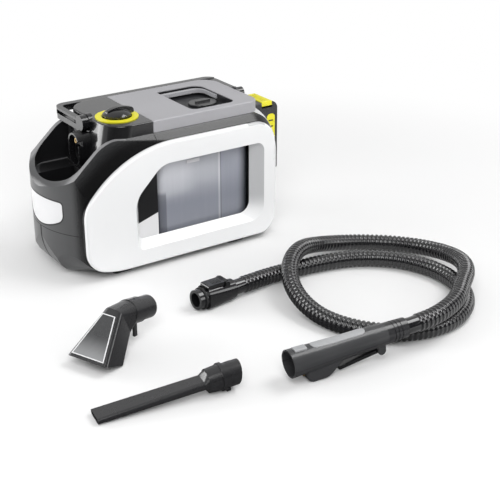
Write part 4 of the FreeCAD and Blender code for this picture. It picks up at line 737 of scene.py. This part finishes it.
def ridges(name, node, up, along, body, material, count, run_share, width_share):
    """Finger ridges: low rounded bars in a row on the top of a button.

    run_share and width_share are the parts of the top, along and across, that they take up.
    """
    up = Vector(up).normalized()
    along = (Vector(along) - up * Vector(along).dot(up)).normalized()
    middle, across, run, width = top_of(node, up, along)
    tree = Tree(name, Count=count, Pitch=run * run_share / count, Length=width * width_share,
                Height=ridge_height)
    given = tree.start.outputs
    pitch = given["Pitch"]
    back = tree.maths("MULTIPLY", tree.maths("SUBTRACT", given["Count"], 1.0), -0.5)
    start = tree.vector(tree.maths("MULTIPLY", pitch, back))
    row = tree.made("MeshLine", Count=given["Count"], Start_Location=start, Offset=tree.vector(pitch))
    bar = tree.made("MeshUVSphere", Segments=12, Rings=8, Radius=1.0)
    size = tree.vector(tree.maths("MULTIPLY", pitch, ridge_half),
                       tree.maths("MULTIPLY", given["Length"], 0.5), given["Height"])
    bars = tree.made("InstanceOnPoints", Points=row, Instance=bar, Scale=size)
    tree.finish(tree.made("SetShadeSmooth", Geometry=bars), material)
    place = Matrix((along, across, up)).transposed().to_4x4()
    place.translation = middle
    scattered(name, tree, place, body)


def add_ridges():
    z_axis, x_axis = (0.0, 0.0, 1.0), (1.0, 0.0, 0.0)
    ridges("gun_button_ridges", "gun_release_button", gun_up, gun_line, "gun_button", pad_grey,
           count=5, run_share=0.60, width_share=0.60)
    ridges("latch_ridges", "connector_latch", z_axis, x_axis, "latch", gloss_black,
           count=5, run_share=0.45, width_share=0.60)
    ridges("battery_button_ridges", "battery_release", z_axis, x_axis, "battery_button", yellow,
           count=6, run_share=0.62, width_share=0.70)


screw_places = ((-0.060, 0.030), (-0.060, -0.030), (0.040, 0.034),
                (0.040, -0.034), (0.130, 0.034), (0.130, -0.034))
screw_plane = 0.0047
screw_radius = 0.0034
screw_height = 0.0006
dome_share = 0.72


def foot_screws():
    """Pan-head screws that hold the base from below: a washer face and a dome on each."""
    tree = Tree("foot_screws", Radius=screw_radius, Height=screw_height)
    given = tree.start.outputs
    washer = tree.made("MeshCylinder", Vertices=24, Radius=given["Radius"], Depth=given["Height"])
    ball = tree.made("MeshUVSphere", Segments=20, Rings=10, Radius=1.0)
    flat = tree.maths("MULTIPLY", given["Radius"], dome_share)
    dome = tree.made("Transform", Geometry=ball, Scale=tree.vector(flat, flat, given["Height"]))
    spots = tree.joined([tree.made("MeshLine", Count=1, Start_Location=(x, y, screw_plane))
                         for x, y in screw_places])
    heads = tree.made("InstanceOnPoints", Points=spots, Instance=tree.joined([washer, dome]))
    tree.finish(heads, steel)
    scattered("foot_screws", tree, Matrix(), "machine")


def tank_catch():
    """Small pale tab moulded on the tank's near face, under the lid's edge."""
    size = (0.025, 0.0012, 0.006)
    middle = (0.0225, -0.0787, 0.163)
    shape = bmesh.new()
    bmesh.ops.create_cube(shape, size=1.0)
    shape.transform(Matrix.Diagonal(size + (1.0,)))
    bmesh.ops.bevel(shape, geom=shape.edges[:], offset=0.0004, segments=2, affect="EDGES")
    shape.transform(Matrix.Translation(middle))
    bmesh.ops.recalc_face_normals(shape, faces=shape.faces)
    tab = shaped("tank_catch", shape, catch_grey)
    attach(tab, "tank")


# ---------------------------------------------------------------- floor and lamps
floor_half = 12.0
floor_level = -0.0004
set_middle = (0.05, -0.20)
plain_grey = 0.84
mirrored_grey = 0.08


def add_floor():
    """Plain pale floor, white far from the set, dark at the front where the set mirrors it."""
    finish = Finish("floor", Roughness=0.7, Specular_IOR_Level=0.25)
    rays = finish.node("ShaderNodeLightPath").outputs
    seen, mirrored = (Value(finish, rays[name]) for name in ("Is Camera Ray", "Is Glossy Ray"))
    x, y, _ = finish.axes()
    front = (1.0 - finish.band(y, -0.42, 0.02)) * (1.0 - finish.band(x, 0.02, 0.22) * 0.75)
    finish.set("Base Color", finish.blend(mirrored * front, shade(plain_grey), shade(mirrored_grey)))
    aside, behind = x - set_middle[0], y - set_middle[1]
    away = finish.band((aside * aside + behind * behind).root(), 0.50, 1.10)
    paper = finish.node("ShaderNodeEmission").outputs[0]
    plain = finish.surface.outputs[0]
    mix = finish.node("ShaderNodeMixShader", {}, {0: seen * away, 1: plain, 2: paper})
    finish.tree.links.new(mix.outputs[0], finish.tree.nodes["Material Output"].inputs["Surface"])
    shape = bmesh.new()
    low, high = -floor_half, floor_half
    corners = ((low, low), (high, low), (high, high), (low, high))
    shape.faces.new([shape.verts.new(corner + (floor_level,)) for corner in corners])
    floor = shaped("floor", shape, finish.material)


# Soft lamps: place, what they point at, width, height, watts
lamps = {
    "key_softbox": ((-1.1, -1.9, 1.9), (0.0, -0.1, 0.1), 1.4, 1.4, 35.0),
    "left_softbox": ((-1.12, 0.86, 0.46), (-0.05, -0.05, 0.25), 0.9, 0.9, 12.0),
    "high_softbox": ((1.05, -0.75, 1.9), (0.1, -0.2, 0.1), 1.2, 0.9, 17.0),
    "right_fill": ((1.25, -1.65, 0.60), (0.1, -0.3, 0.1), 0.8, 0.8, 6.0),
}


def add_lamps():
    for name, (place, target, width, height, watts) in lamps.items():
        data = bpy.data.lights.new(name, "AREA")
        data.shape = "RECTANGLE"
        data.size = width
        data.size_y = height
        data.energy = watts
        lamp = placed(name, data)
        lamp.location = place
        lamp.rotation_euler = (Vector(target) - Vector(place)).to_track_quat("-Z", "Y").to_euler()
        lamp.visible_camera = False


spread_level = 0.52
mirror_fade = {"From Min": -0.75, "From Max": 0.10, "To Min": 0.05, "To Max": 0.62}


def add_world():
    """Studio surroundings: white where seen; where mirrored, darker towards the camera."""
    world = bpy.data.worlds.new("studio")
    world.use_nodes = True
    tree = world.node_tree

    def maths(operation, *values):
        made = tree.nodes.new("ShaderNodeMath")
        made.operation = operation
        for socket, value in zip(made.inputs, values):
            if isinstance(value, bpy.types.NodeSocket):
                tree.links.new(value, socket)
            else:
                socket.default_value = value
        return made.outputs[0]

    rays = tree.nodes.new("ShaderNodeLightPath").outputs
    way = tree.nodes.new("ShaderNodeSeparateXYZ")
    tree.links.new(tree.nodes.new("ShaderNodeTexCoord").outputs["Generated"], way.inputs[0])
    fade = tree.nodes.new("ShaderNodeMapRange")
    fade.interpolation_type = "SMOOTHSTEP"
    tree.links.new(way.outputs["Y"], fade.inputs["Value"])
    for label, value in mirror_fade.items():
        fade.inputs[label].default_value = value
    white = maths("MAXIMUM", rays["Is Camera Ray"], rays["Is Transmission Ray"])
    mirrored = maths("MULTIPLY", rays["Is Glossy Ray"], fade.outputs[0])
    spread = maths("MULTIPLY", maths("SUBTRACT", 1.0, rays["Is Glossy Ray"]), spread_level)
    level = maths("MAXIMUM", maths("MAXIMUM", white, mirrored), spread)
    background = tree.nodes["Background"].inputs
    background["Color"].default_value = (1.0, 1.0, 1.0, 1.0)
    tree.links.new(level, background["Strength"])
    bpy.context.scene.world = world


add_camera()
finish_nodes()
make_hose()
add_strips()
add_ridges()
foot_screws()
tank_catch()
add_floor()
add_world()
add_lamps()
bpy.context.scene.view_settings.view_transform = "Standard"
